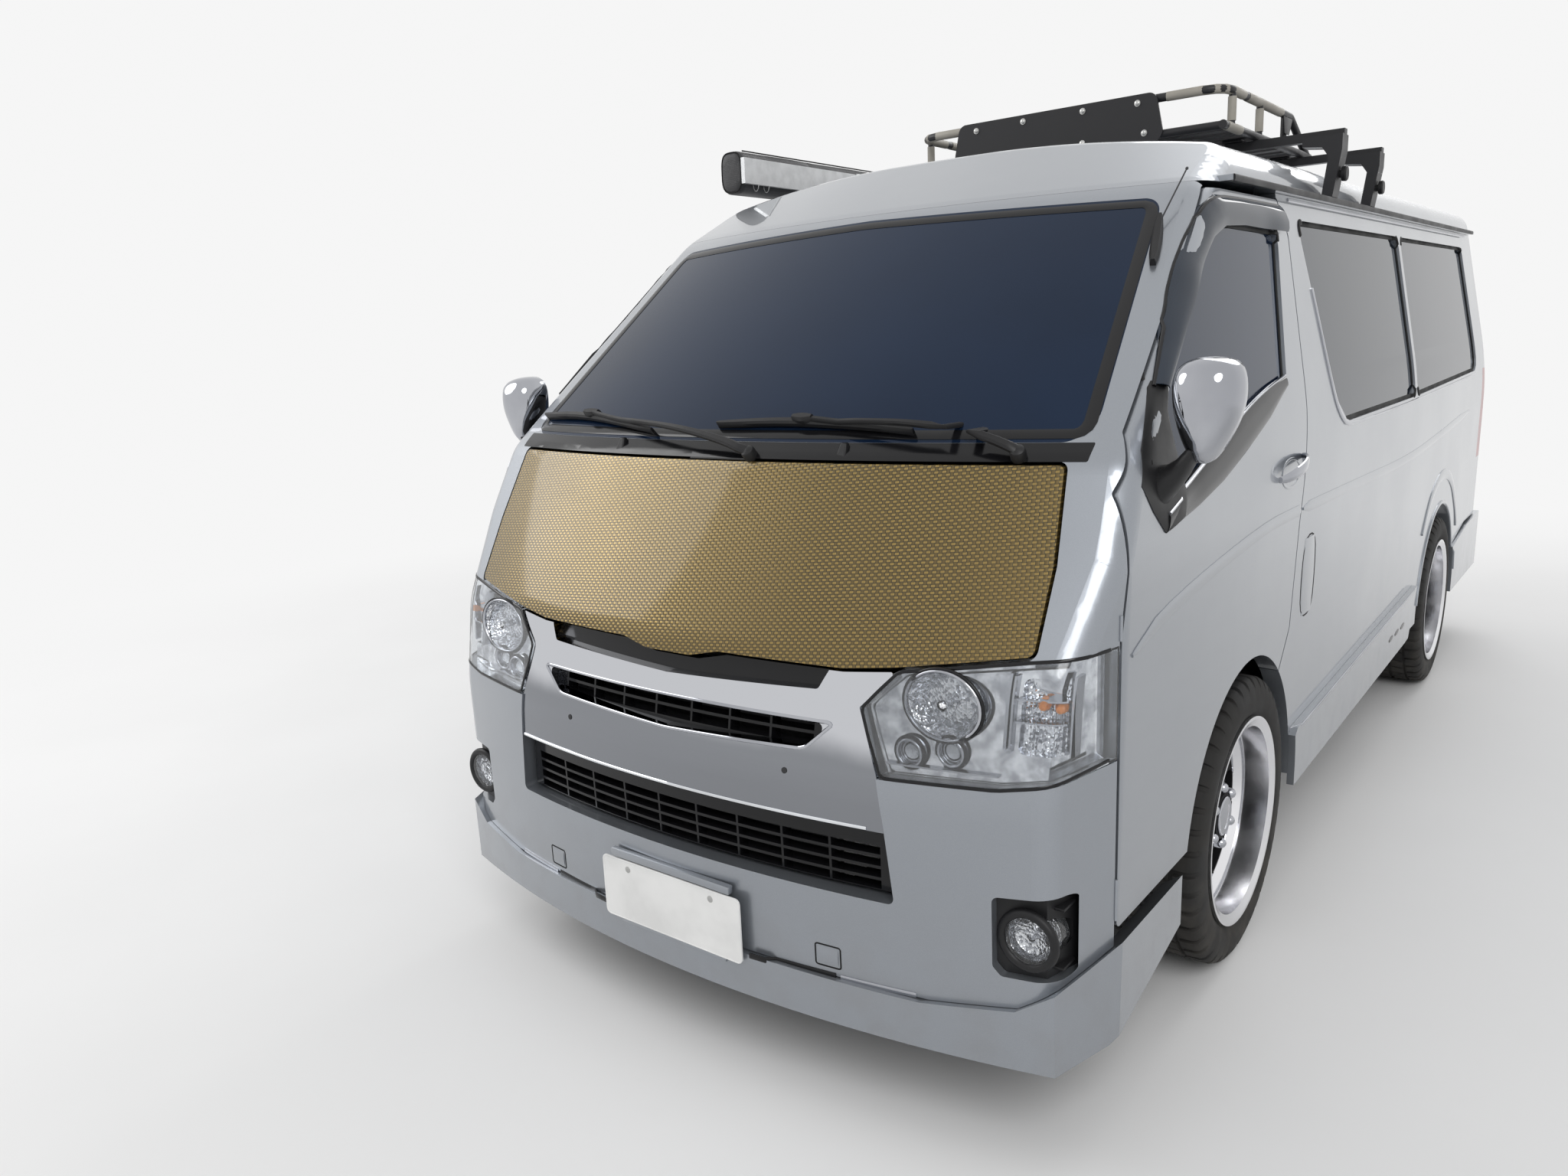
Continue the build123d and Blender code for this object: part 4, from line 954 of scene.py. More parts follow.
def inset(path: Path, amount: float) -> Path:
    """Moves a closed outline inwards, or outwards where the amount is negative.

    Args:
        path: Corners in millimetres.
        amount: Distance in millimetres.

    Returns:
        The moved outline.
    """
    area = sum(a * d - c * b for (a, b), (c, d) in zip(path, [*path[1:], path[0]]))
    sign = 1.0 if area > 0 else -1.0
    moved = []
    for index, (x, y) in enumerate(path):
        px, py = path[index - 1]
        nx, ny = path[(index + 1) % len(path)]
        first = Vector((x - px, y - py)).normalized()
        second = Vector((nx - x, ny - y)).normalized()
        normal = Vector((-(first.y + second.y), first.x + second.x)).normalized() * sign
        lean = max(0.35, abs(normal.dot(Vector((-first.y, first.x)))))
        moved.append((x + normal.x * amount / lean, y + normal.y * amount / lean))
    return moved


class Skin:
    """The van's outer surface, felt out by rays so that thin pieces can lie on it."""

    NODES = (
        "front_pillars", "roof_panel", "side_panel_left", "side_panel_right", "door_left", "door_right",
        "sliding_door", "windscreen", "side_glass", "door_glass_left", "door_glass_right", "tailgate",
        "tailgate_glass", "bonnet", "front_bumper", "front_lip", "headlamps", "rear_bumper", "grille_chrome",
        "grille_black", "cowl", "fog_bezels", "side_skirts", "tail_lamps",
    )
    PROFILE = ((-1.0, -0.4), (-1.0, 0.5), (-0.55, 1.0), (0.55, 1.0), (1.0, 0.5), (1.0, -0.4))
    SPREAD = 0.006

    def __init__(self) -> None:
        """Gathers the triangles of the outer nodes."""
        points: list[Vector] = []
        faces: list[tuple[int, ...]] = []
        for name in self.NODES:
            source = bpy.data.objects[name]
            base = len(points)
            points.extend(source.matrix_world @ vertex.co for vertex in source.data.vertices)
            faces.extend(tuple(base + corner for corner in face.vertices) for face in source.data.polygons)
        self.tree = BVHTree.FromPolygons(points, faces)

    def _cast(self, eye: Point, ray: Point) -> Place:
        """The middle one of five neighbouring hits, and the surface's direction there."""
        start, aim = Vector(eye), Vector(ray)
        across = Vector((0, self.SPREAD, 0)) if ray[0] else Vector((self.SPREAD, 0, 0))
        up = Vector((0, 0, self.SPREAD))
        hits = []
        for offset in (Vector(), across, -across, up, -up):
            place, normal, _, distance = self.tree.ray_cast(start + offset, aim)
            if place is not None:
                hits.append((distance, normal if normal.dot(aim) < 0 else -normal))
        hits.sort(key=lambda item: item[0])
        if not hits:
            raise ValueError(f"no surface from {tuple(start)} along {tuple(aim)}")
        distance, normal = hits[len(hits) // 2]
        return start + aim * distance, normal

    def side(self, hand: Side, y: float, z: float) -> Place:
        """A point on the van's side, from millimetres behind the front axle and above the ground."""
        return self._cast(at(hand.value * 1400.0, y, z), (-hand.value, 0, 0))

    def front(self, x: float, z: float) -> Place:
        """A point on the van's front."""
        return self._cast(at(x, -1500.0, z), (0, 1, 0))

    def tail(self, x: float, z: float) -> Place:
        """A point on the van's tail."""
        return self._cast(at(x, 4200.0, z), (0, -1, 0))

    def fronts(self, path: Path) -> Places:
        """Points on the van's front along a path."""
        return [self.front(x, z) for x, z in path]

    def sides(self, hand: Side, path: Path) -> Places:
        """Points on the van's side along a path."""
        return [self.side(hand, y, z) for y, z in path]

    def moulding(self, name: str, places: Places, half: object, thick: float, closed: bool = False) -> Piece:
        """A crowned strip along a row of places on the skin.

        Args:
            name: Name of the piece.
            places: Points and surface directions along its middle.
            half: Half its width in metres, or one value for each place.
            thick: How far it stands up in metres.
            closed: Whether it comes back to its start.

        Returns:
            The new closed mesh object.
        """
        rings = []
        count = len(places)
        for index, (point, normal) in enumerate(places):
            before = places[index - 1][0] if index or closed else point
            after = places[(index + 1) % count][0] if index + 1 < count or closed else point
            across = (after - before).cross(normal).normalized()
            width = half[index] if isinstance(half, (list, tuple)) else half
            rings.append([point + across * width * u + normal * thick * v for u, v in self.PROFILE])
        return loft(name, rings, closed)

    def patch(self, name: str, rows: Sequence[Places], lift: float, thick: float) -> Piece:
        """A broad crowned skin between two edges.

        Args:
            name: Name of the piece.
            rows: Rows of places across it, from one edge to the other.
            lift: How far its middle stands off the surface in metres.
            thick: Its thickness in metres.

        Returns:
            The new closed mesh object.
        """
        rings = []
        for row in rows:
            last = len(row) - 1
            crown = [0.15 + 0.85 * math.sin(math.pi * k / last) ** 0.6 if 0 < k < last else 0.15
                     for k in range(last + 1)]
            outer = [point + normal * lift * c for (point, normal), c in zip(row, crown)]
            inner = [point + normal * (lift * c - thick) for (point, normal), c in zip(row, crown)]
            rings.append([*outer, *reversed(inner)])
        return loft(name, rings)


# Pieces of the van


@dataclass
class Trim:
    """What every sub-assembly that lies on the skin has in common."""

    shop: Workshop
    skin: Skin

    def strip(self, name: str, places: Places, half: object, thick: float, finish: str,
              body: str = "van_body", closed: bool = False) -> None:
        """Lays a crowned strip along places of the skin and keeps it.

        Args:
            name: Name of the piece.
            places: Points and surface directions along its middle.
            half: Half its width in metres, or one value for each place.
            thick: How far it stands up in metres.
            finish: Name of its finish.
            body: The CAD body that carries it.
            closed: Whether it comes back to its start.
        """
        self.shop.keep(self.skin.moulding(name, places, half, thick, closed), finish, body)

    def pair(self, piece: Piece, finish: str) -> None:
        """Keeps a left piece and its mirror image on the right."""
        for one in (piece, placed(piece, piece.name.replace("left", "right"))):
            self.shop.keep(one, finish)


@dataclass
class Windscreen(Trim):
    """The black border of the screen, the wipers and the washer nozzles."""

    outline: tuple = ((-752, 1288), (752, 1288), (672, 1742), (0, 1757), (-672, 1742))
    border: float = 13.0
    wipers: tuple = (
        # pivot, elbow, bridge, blade ends, as x and z
        ((638, 1266), (527, 1290), (173, 1319), ((-48, 1313), (128, 1320), (300, 1313), (424, 1301))),
        ((81, 1262), (-37, 1279), (-496, 1326), ((-732, 1322), (-560, 1327), (-400, 1318), (-237, 1299))),
    )
    nozzles: tuple = ((-326, 1264), (292, 1263))
    cap: tuple = ((-0.004, 0.015), (0.012, 0.015), (0.018, 0.013), (0.021, 0.007), (0.022, 0.0))
    square: tuple = ((-1, -1), (1, -1), (1, 1), (-1, 1))

    def build(self) -> None:
        """Makes the border, both wipers and both nozzles."""
        edge = soften(resample(inset(self.outline, self.border), 60, True), 2, True)
        self.strip("screen_border_outer", self.skin.fronts(edge), 0.012, 0.0016, "gloss black", closed=True)
        for index, (pivot, elbow, bridge, blade) in enumerate(self.wipers):
            self._wiper(index, pivot, elbow, bridge, blade)
        for index, (x, z) in enumerate(self.nozzles):
            self._nozzle(index, x, z)

    def _wiper(self, index: int, pivot: tuple, elbow: tuple, bridge: tuple, blade: tuple) -> None:
        """One wiper: rubber, spine, bridge, arm and its cap."""
        line = resample(soften(blade, 2), 24)
        places = self.skin.fronts(line)
        last = len(places) - 1
        taper = [0.35 + 0.65 * math.sin(math.pi * min(k, last - k) / last) ** 0.5 if 0 < k < last else 0.35
                 for k in range(last + 1)]
        rubber = self.skin.moulding("rubber", [(p + n * 0.002, n) for p, n in places], 0.0035, 0.010)
        spine = self.skin.moulding(
            "spine", [(p + n * 0.009, n) for p, n in places], [0.009 * t for t in taper], 0.009
        )
        arm = []
        stops = resample(soften((pivot, elbow, bridge), 2), 30)
        for k, (x, z) in enumerate(stops):
            place, normal = self.skin.front(x, z)
            share = k / (len(stops) - 1)
            lift = 0.014 + 0.020 * math.sin(math.pi * min(share * 1.25, 1.0)) + 0.006 * share
            arm.append((place + normal * lift, normal, 0.0105 - 0.0055 * min(1.0, share * 1.6)))
        arm_piece = self.skin.moulding("arm", [(p, n) for p, n, _ in arm], [w for _, _, w in arm], 0.007)
        hub, normal = self.skin.front(*pivot)
        cap = spun("cap", hub, self.cap, normal, 24)
        saddle, up = self.skin.front(*bridge)
        clip = self.skin.moulding(
            "clip", [(saddle + up * 0.016 + Vector((k * 0.012, 0, 0)), up) for k in (-2, -1, 0, 1, 2)],
            [0.006, 0.010, 0.012, 0.010, 0.006], 0.012,
        )
        whole = join(f"wiper_{index}", [spine, rubber, arm_piece, cap, clip])
        self.shop.keep(whole, "black plastic")

    def _nozzle(self, index: int, x: float, z: float) -> None:
        """One washer nozzle, a small upright wedge."""
        place, _ = self.skin.front(x, z)
        low = [Vector((sx * 0.012, sy * 0.013, -0.006)) for sx, sy in self.square]
        top = [Vector((sx * 0.007, 0.006 + sy * 0.006, 0.026)) for sx, sy in self.square]
        ends = [[place + Vector((0, 0.012, 0)) + v for v in ring] for ring in (low, top)]
        nozzle = bevelled(loft(f"washer_nozzle_{index}", ends), 0.003)
        self.shop.keep(nozzle, "black plastic")


@dataclass
class Headlamps(Trim):
    """Bulbs, facets, chrome rings and amber bulbs behind the clear lenses."""

    bowl: tuple[float, float] = (600.0, 856.0)
    base_y: float = -916.0
    base_r: float = 50.0
    flare: float = 32.0
    squat: float = 0.84
    projectors: tuple = ((541.0, 764.0, -970.0), (614.0, 772.0, -952.0))
    bulbs: tuple = ((762.0, -906.0, 869.0), (786.0, -893.0, 864.0))
    flutes: int = 29
    bulb: tuple = (
        (0.0, 0.012), (0.010, 0.012), (0.011, 0.0075), (0.030, 0.0072), (0.036, 0.010), (0.043, 0.0095),
        (0.046, 0.006), (0.047, 0.0),
    )
    disc: tuple = ((-0.001, 0.0150), (0.001, 0.0150), (0.0015, 0.0))
    lens: tuple = ((-0.003, 0.0175), (0.002, 0.0175), (0.008, 0.0145), (0.012, 0.009), (0.0135, 0.0))
    amber: tuple = ((-0.012, 0.011), (0.0, 0.011), (0.002, 0.0085), (0.014, 0.0085), (0.020, 0.006),
                    (0.022, 0.0))
    fins: tuple = (
        # x, lower and upper z, half width
        (708.0, 792.0, 918.0, 3.0), (716.0, 786.0, 914.0, 2.0), (806.0, 780.0, 915.0, 2.5),
    )
    shelves: tuple = ((742.0, 500.0, 700.0), (838.0, 722.0, 800.0), (876.0, 722.0, 800.0))
    edge: tuple = (
        (836, 752), (790, 739), (704, 724), (499, 718), (470, 790), (454, 837), (485, 872), (518, 907),
        (741, 939), (836, 950),
    )

    def build(self) -> None:
        """Makes one lamp's insides and mirrors them."""
        for piece, finish in (
            (self._facets(), "lamp facets"),
            (self._rings(), "bright chrome"),
            (self._lenses(), "lamp clear"),
            (self._ambers(), "lamp amber"),
            (self._flutes(), "lamp facets"),
            (self._fins(), "bright chrome"),
            (self._outline(), "gloss black"),
            (self._dark_rings(), "gloss black"),
        ):
            self.pair(piece, finish)

    def _facets(self) -> Piece:
        """The faceted dish of the round reflector with its bulb."""
        x, z = self.bowl
        sides = 30
        slope = math.tan(math.radians(self.flare))
        steps = (2.0, 11.0, 20.0, 29.0, 38.0)
        rings = []
        for row, depth in enumerate(steps):
            ring = []
            for k in range(sides):
                angle = 2 * math.pi * (k + 0.5 * (row % 2)) / sides
                radius = self.base_r + depth * slope - 2.4 - (1.4 if k % 2 else 0.0)
                up = self.squat * radius * math.sin(angle)
                ring.append(at(x + radius * math.cos(angle), self.base_y - depth, z + up))
            rings.append(ring)
        back = [[at(x + (self.base_r - 6) * a, self.base_y - 0.6, z + (self.base_r - 6) * b)
                 for a, b in circle(sides)]]
        centre = [[at(x + 9 * a, self.base_y - 1.0, z + 9 * b) for a, b in circle(sides)]]
        dish = edit(loft("dish", [*centre, *back, *rings]))
        bpy.ops.mesh.select_all(action="DESELECT")
        bpy.ops.object.mode_set(mode="OBJECT")
        for face in dish.data.polygons:
            face.select = len(face.vertices) > 4
        bpy.ops.object.mode_set(mode="EDIT")
        bpy.ops.mesh.delete(type="FACE")
        bpy.ops.object.mode_set(mode="OBJECT")
        wall = dish.modifiers.new("wall", "SOLIDIFY")
        wall.thickness = 0.0008
        pick(apply_modifiers(dish))
        bpy.ops.object.shade_flat()
        bulb = spun("bulb", at(x, self.base_y, z), self.bulb, (0, -1, 0), 24)
        return join("lamp_facets_left", [dish, bulb])

    def _rings(self) -> Piece:
        """Bright rings round the reflector's mouth and the two small rounds."""
        x, z = self.bowl
        slope = math.tan(math.radians(self.flare))
        mouth = self.base_r + 40 * slope - 1.0
        pieces = [self._ring(at(x, self.base_y - 40, z), mouth * MM, 0.0034, self.squat)]
        for px, pz, front in self.projectors:
            pieces.append(self._ring(at(px, front - 1.0, pz), 0.0245, 0.0034))
            pieces.append(self._ring(at(px, front + 9.0, pz), 0.0185, 0.0020))
        return join("lamp_rings_left", pieces)

    def _dark_rings(self) -> Piece:
        """Dark gaps round the reflector's mouth and the small rounds, and dark discs behind their lenses."""
        x, z = self.bowl
        mouth = self.base_r + 40 * math.tan(math.radians(self.flare)) + 2.6
        pieces = [self._ring(at(x, self.base_y - 38.5, z), (mouth + 1.6) * MM, 0.0028, self.squat)]
        for px, pz, front in self.projectors:
            pieces.append(self._ring(at(px, front + 1.0, pz), 0.0300, 0.0026))
            pieces.append(spun("disc", at(px, front + 18.0, pz), self.disc, (0, -1, 0), 24))
        return join("lamp_gaps_left", pieces)

    @staticmethod
    def _ring(centre: Point, radius: float, bar: float, squat: float = 1.0) -> Piece:
        """One round bar bent into a ring that faces forwards, flatter where squat is below 1."""
        ring = hoop(centre, FORWARDS, (radius, bar), (40, 10))
        ring.scale = (1.0, squat, 1.4)
        return smooth(settle(ring), 60)

    def _flutes(self) -> Piece:
        """The fluted reflector behind the indicator's bulbs."""
        rings = []
        for step in range(self.flutes):
            x = 722.0 + step * 3.0
            outer, inner = [], []
            for z in (780, 812, 844, 876, 908):
                place, _ = self.skin.front(x, z)
                depth = 0.040 + (0.0016 if step % 2 else -0.0016)
                outer.append(place + Vector((0, depth, 0)))
                inner.append(place + Vector((0, depth + 0.002, 0)))
            rings.append([*outer, *reversed(inner)])
        return loft("lamp_flutes_left", rings)

    def _fins(self) -> Piece:
        """Bright walls beside the indicator and below the reflector."""
        pieces = []
        for x, z_low, z_high, wide in self.fins:
            rings = []
            for step in range(9):
                z = z_low + (z_high - z_low) * step / 8
                place, _ = self.skin.front(x, z)
                rings.append([place + Vector((sx * wide * MM, depth, 0))
                              for sx, depth in ((-1, 0.012), (1, 0.012), (1.4, 0.042), (-1.4, 0.042))])
            pieces.append(loft("fin", rings))
        for z, x_low, x_high in self.shelves:
            rings = []
            for step in range(13):
                x = x_low + (x_high - x_low) * step / 12
                place, _ = self.skin.front(x, z)
                rings.append([place + Vector((0, depth, sz * 0.0016))
                              for sz, depth in ((-1, 0.014), (1, 0.014), (1.6, 0.038), (-1.6, 0.038))])
            pieces.append(loft("shelf", rings))
        return join("lamp_fins_left", pieces)

    def _outline(self) -> Piece:
        """The dark edge round the lens."""
        line = soften(resample(self.edge, 30), 1)
        places = self.skin.fronts(line)
        return self.skin.moulding("lamp_outline_left", places, 0.0032, 0.0016)

    def _lenses(self) -> Piece:
        """The two small bulging lenses."""
        pieces = [spun("lens", at(px, front + 14.0, pz), self.lens, (0, -1, 0), 28)
                  for px, pz, front in self.projectors]
        return join("lamp_small_lenses_left", pieces)

    def _ambers(self) -> Piece:
        """The two amber bulbs of the indicator."""
        pieces = [spun("amber", at(px, py + 12, pz), self.amber, (0.25, -1, 0), 20)
                  for px, py, pz in self.bulbs]
        return join("lamp_ambers_left", pieces)


@dataclass
class FrontTrim(Trim):
    """Hook covers, number plate, fog lamp rings, grille screws and edges, and lip inserts."""

    hooks: tuple = ((379, 338), (-397, 338))
    slot: tuple = ((-392, 799), (392, 799), (338, 750), (0, 738), (-338, 750))
    plate_steps: tuple = (
        # how large the blank plate's section is, and its y
        (0.996, -1057.1), (1.0, -1057.8), (1.0, -1061.4), (0.997, -1062.1), (0.984, -1062.1),
        (0.981, -1061.3), (0.5, -1061.3), (0.02, -1061.3),
    )
    fog: tuple[float, float] = (755.0, 452.0)
    fog_ring: float = 50.0
    dish: tuple = (
        (-0.002, 0.040), (0.022, 0.0425), (0.0225, 0.0405), (0.006, 0.034), (0.001, 0.020), (0.001, 0.008),
        (0.012, 0.008), (0.014, 0.0),
    )
    plate_screw: tuple = ((-0.001, 0.0075), (0.0008, 0.0072), (0.0016, 0.005), (0.0018, 0.0))
    face_screw: tuple = ((-0.001, 0.006), (0.001, 0.006), (0.0022, 0.0))

    def build(self) -> None:
        """Makes every small piece of the van's front."""
        self._hook_covers()
        self._plate_holder()
        self._fog_lamps()
        self._grille_screws()
        self._slot_edges()
        self._lip_line()

    def _hook_covers(self) -> None:
        """Two small covers with dark joint lines."""
        for index, (x, z) in enumerate(self.hooks):
            corners = [(x - 27, z - 22), (x + 27, z - 22), (x + 27, z + 22), (x - 27, z + 22)]
            loop = soften(resample(corners, 14, True), 2, True)
            places = self.skin.fronts(loop)
            self.strip(f"hook_cover_joint_{index}", places, 0.0016, 0.0007, "rubber seal", closed=True)
            shares = (-1, -0.5, 0, 0.5, 1)
            rows = [[self.skin.front(x + u * 22, z + v * 17) for v in shares] for u in shares]
            cover = self.skin.patch(f"hook_cover_{index}", rows, 0.0018, 0.002)
            self.shop.keep(cover, "silver lacquer")

    def _plate_holder(self) -> None:
        """The holder's silver bar and foot, the blank plate and its two screws."""
        bar = block("plate_bar", at(-168, -1061, 419), at(168, -1046, 437), 0.003)
        foot = block("plate_foot", at(-150, -1060, 268), at(150, -1050, 276.6), 0.002)
        self.shop.keep(join("plate_holder", [bar, foot]), "silver lacquer")
        corners = [(-195, 277), (195, 277), (195, 417), (-195, 417)]
        sheet = soften(resample(corners, 28, True), 2, True)
        rings = []
        for scale, y in self.plate_steps:
            tall = 1 - (1 - scale) * 2.0 if scale > 0.9 else scale
            rings.append([at(x * scale, y, 347 + (z - 347) * tall) for x, z in sheet])
        blank = smooth(loft("plate_blank", rings), 30)
        self.shop.keep(blank, "plate white")
        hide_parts("number_plates")
        for index, x in enumerate((-118, 118)):
            screw = spun(f"plate_screw_{index}", at(x, -1061.0, 398), self.plate_screw, (0, -1, 0), 20)
            self.shop.keep(screw, "zinc steel")

    def _fog_lamps(self) -> None:
        """A thick black ring, ribs and a bright dish for each fog lamp."""
        x, z = self.fog
        ring = hoop(at(x, -943, z), FORWARDS, (self.fog_ring * MM, 0.0085), (48, 12))
        pieces = [smooth(settle(ring), 60)]
        for row in range(5):
            height = 395 + row * 28
            span = math.sqrt(max(0.0, 55.0 ** 2 - (height - z) ** 2))
            for low, high in ((704, x - span), (x + span, 806)):
                if high - low > 8:
                    depth = -912 + 0.42 * (high - 755)
                    pieces.append(block("rib", at(low, depth - 18, height - 3),
                                        at(high, depth + 30, height + 3), 0.0015))
        dish = spun("fog_dish_left", at(x, -906, z), self.dish, (0, -1, 0), 36)
        self.pair(dish, "lamp facets")
        self.pair(join("fog_trim_left", pieces), "black plastic")

    def _grille_screws(self) -> None:
        """Two small screws in the chrome face."""
        for index, x in enumerate((-300, 300)):
            place, normal = self.skin.front(x, 700)
            screw = spun(f"grille_screw_{index}", place, self.face_screw, normal, 18)
            self.shop.keep(screw, "dark steel")

    def _slot_edges(self) -> None:
        """Thin bright lines round the chrome face's lower opening, and along its foot."""
        loop = soften(resample(inset(self.slot, -3), 40, True), 2, True)
        self.strip("slot_edge_0", self.skin.fronts(loop), 0.0034, 0.0030, "bright chrome", closed=True)
        foot = self.skin.fronts([(x, 616) for x in range(-498, 499, 42)])
        self.strip("grille_foot", foot, 0.0035, 0.0025, "mirror glass")

    def _lip_line(self) -> None:
        """Dark joint and bright insert slots between bumper and lip."""
        for hand in Side:
            for label, low, high, finish, half in (
                ("slot", 205, 395, "gloss black", 0.006), ("insert", 405, 566, "bright chrome", 0.005),
            ):
                line = [(hand.value * x, 292 + 0.02 * x) for x in range(low, high + 1, 19)]
                places = self.skin.fronts(line)
                self.strip(f"lip_{label}_{hand.word}", places, half, 0.002, finish)


@dataclass
class DoorTrim(Trim):
    """Rubber, belt trim, visor, mirror, crease and handle of both front doors."""

    window: tuple = ((-640, 1250), (-585, 1157), (268, 1338), (370, 1692), (-100, 1692))
    trim_low: tuple = ((-582, 1116), (-400, 1143), (-250, 1172), (-100, 1212), (100, 1270), (262, 1330))
    trim_high: tuple = ((-584, 1150), (-420, 1196), (-260, 1240), (-100, 1288), (100, 1330), (268, 1352))
    sail_out: tuple = ((-530, 1400), (-592, 1338), (-655, 1272), (-684, 1212), (-640, 1162), (-586, 1118))
    sail_in: tuple = ((-505, 1396), (-520, 1330), (-500, 1262), (-480, 1215), (-478, 1178), (-500, 1140))
    visor_out: tuple = ((-545, 1378), (-440, 1476), (-300, 1600), (-150, 1714), (-80, 1744), (100, 1750),
                        (410, 1754))
    visor_in: tuple = ((-520, 1368), (-400, 1462), (-255, 1570), (-110, 1655), (-20, 1682), (120, 1690),
                       (425, 1690))
    visor_lifts: tuple = (0.0, 0.0045, 0.009, 0.009, 0.006, 0.0015)
    handle: tuple[float, float] = (245.0, 1142.0)
    lock: tuple = ((-0.001, 0.0125), (0.0025, 0.0125), (0.0035, 0.0105), (0.0028, 0.0085), (0.0028, 0.0))
    handle_lean: float = 10.0
    handle_long: float = 205.0
    glass_edge: tuple = (
        (866, 1398), (884, 1414), (915, 1418), (950, 1410), (961, 1382), (958, 1332), (932, 1278),
        (914, 1254), (902, 1252), (890, 1266), (872, 1312), (863, 1358),
    )
    glass_steps: tuple = ((0.965, -546.6), (1.0, -546.0), (1.0, -543.9), (0.965, -543.0))
    shell_edge: tuple = (
        (856, 1405), (880, 1424), (915, 1428), (958, 1419), (971, 1385), (968, 1330), (940, 1272),
        (918, 1243), (900, 1240), (882, 1258), (862, 1310), (853, 1360),
    )
    shell_steps: tuple = (
        # y, and how large the shell's section is there
        (-634.5, 0.06), (-633.5, 0.30), (-629, 0.55), (-620, 0.76), (-606, 0.90), (-588, 0.975),
        (-566, 1.0), (-548, 1.0), (-545.5, 0.985), (-545.3, 0.93),
    )
    foot_steps: tuple = (
        # x, z, half width and half height of the foot's sections
        (837, 1198, 40, 42), (850, 1205, 38, 36), (868, 1222, 34, 30), (886, 1246, 30, 26),
        (900, 1268, 26, 22),
    )

    def build(self) -> None:
        """Makes the trim of both doors."""
        for hand in Side:
            for make in (
                self._rubber, self._belt, self._visor, self._handle, self._mirror, self._mirror_glass,
                self._crease,
            ):
                make(hand, f"door_{hand.word}_body")

    def _rubber(self, hand: Side, body: str) -> None:
        """The black rubber round the window."""
        loop = soften(resample(inset(self.window, 3), 36, True), 2, True)
        places = self.skin.sides(hand, loop)
        self.strip(f"door_rubber_{hand.word}", places, 0.0065, 0.0030, "rubber seal", body, closed=True)

    def _rows(self, hand: Side, low: Sequence, high: Sequence, step: float,
              push: tuple[float, float]) -> list:
        """Rows of places straight across between two edges that share their number of corners.

        Args:
            hand: The van's side.
            low: First edge as y and z in millimetres.
            high: Second edge.
            step: Distance between rows in millimetres.
            push: How far each edge is held off the skin in metres.

        Returns:
            Rows of points with their surface directions.
        """
        rows = []
        pairs = list(zip(low, high))
        for (first, second), (third, fourth) in zip(pairs, pairs[1:]):
            count = max(1, round(math.hypot(third[0] - first[0], third[1] - first[1]) / step))
            for k in range(count):
                share = k / count
                a = (first[0] + (third[0] - first[0]) * share, first[1] + (third[1] - first[1]) * share)
                b = (second[0] + (fourth[0] - second[0]) * share, second[1] + (fourth[1] - second[1]) * share)
                rows.append((a, b))
        rows.append(pairs[-1])
        spans = []
        for a, b in rows:
            first, normal = self.skin.side(hand, *a)
            second, other = self.skin.side(hand, *b)
            spans.append([first + normal * push[0], second + other * push[1], (normal + other).normalized()])
        for _ in range(4):
            before = [list(span) for span in spans]
            for index in range(1, len(spans) - 1):
                for part in (0, 1):
                    back, here, ahead = (before[index + k][part] for k in (-1, 0, 1))
                    spans[index][part] = Vector(((back.x + 2 * here.x + ahead.x) / 4, here.y, here.z))
                facing = before[index - 1][2] + before[index][2] + before[index + 1][2]
                spans[index][2] = facing.normalized()
        return [
            [(start.lerp(end, t), facing) for t in (0, 0.12, 0.35, 0.65, 0.88, 1)]
            for start, end, facing in spans
        ]

    def _belt(self, hand: Side, body: str) -> None:
        """The glossy band under the window, its bright edge, and the black panel before the window."""
        rows = self._rows(hand, self.trim_low, self.trim_high, 28, (0.001, 0.008))
        band = self.skin.patch(f"belt_trim_{hand.word}", rows, 0.0050, 0.006)
        self.shop.keep(band, "gloss black", body)
        rows = self._rows(hand, self.sail_out, self.sail_in, 24, (0.001, 0.008))
        sail = self.skin.patch(f"mirror_sail_{hand.word}", rows, 0.0060, 0.008)
        self.shop.keep(sail, "black plastic", body)
        line = resample(soften(self.trim_high, 2), 26)
        seated = [self.skin.side(hand, y, z + 2) for y, z in line]
        places = [(point + normal * 0.008, normal) for point, normal in seated]
        self.strip(f"belt_edge_{hand.word}", places, 0.0030, 0.0040, "bright chrome", body)

    def _visor(self, hand: Side, body: str) -> None:
        """The smoke-blue deflector round the window's front and top."""
        rows = self._rows(hand, self.visor_in, self.visor_out, 28, (0.012, 0.001))
        rings = []
        for row in rows:
            outer = [point + normal * lift for (point, normal), lift in zip(row, self.visor_lifts)]
            inner = [point + normal * (lift - 0.0025) for (point, normal), lift in zip(row, self.visor_lifts)]
            rings.append([*outer, *reversed(inner)])
        visor = loft(f"window_visor_{hand.word}", rings)
        self.shop.keep(visor, "visor smoke", body)
        line = resample(soften(self.visor_out, 2), 26)
        places = [self.skin.side(hand, y, z - 3) for y, z in line]
        self.strip(f"visor_rim_{hand.word}", places, 0.004, 0.0060, "gloss black", body)

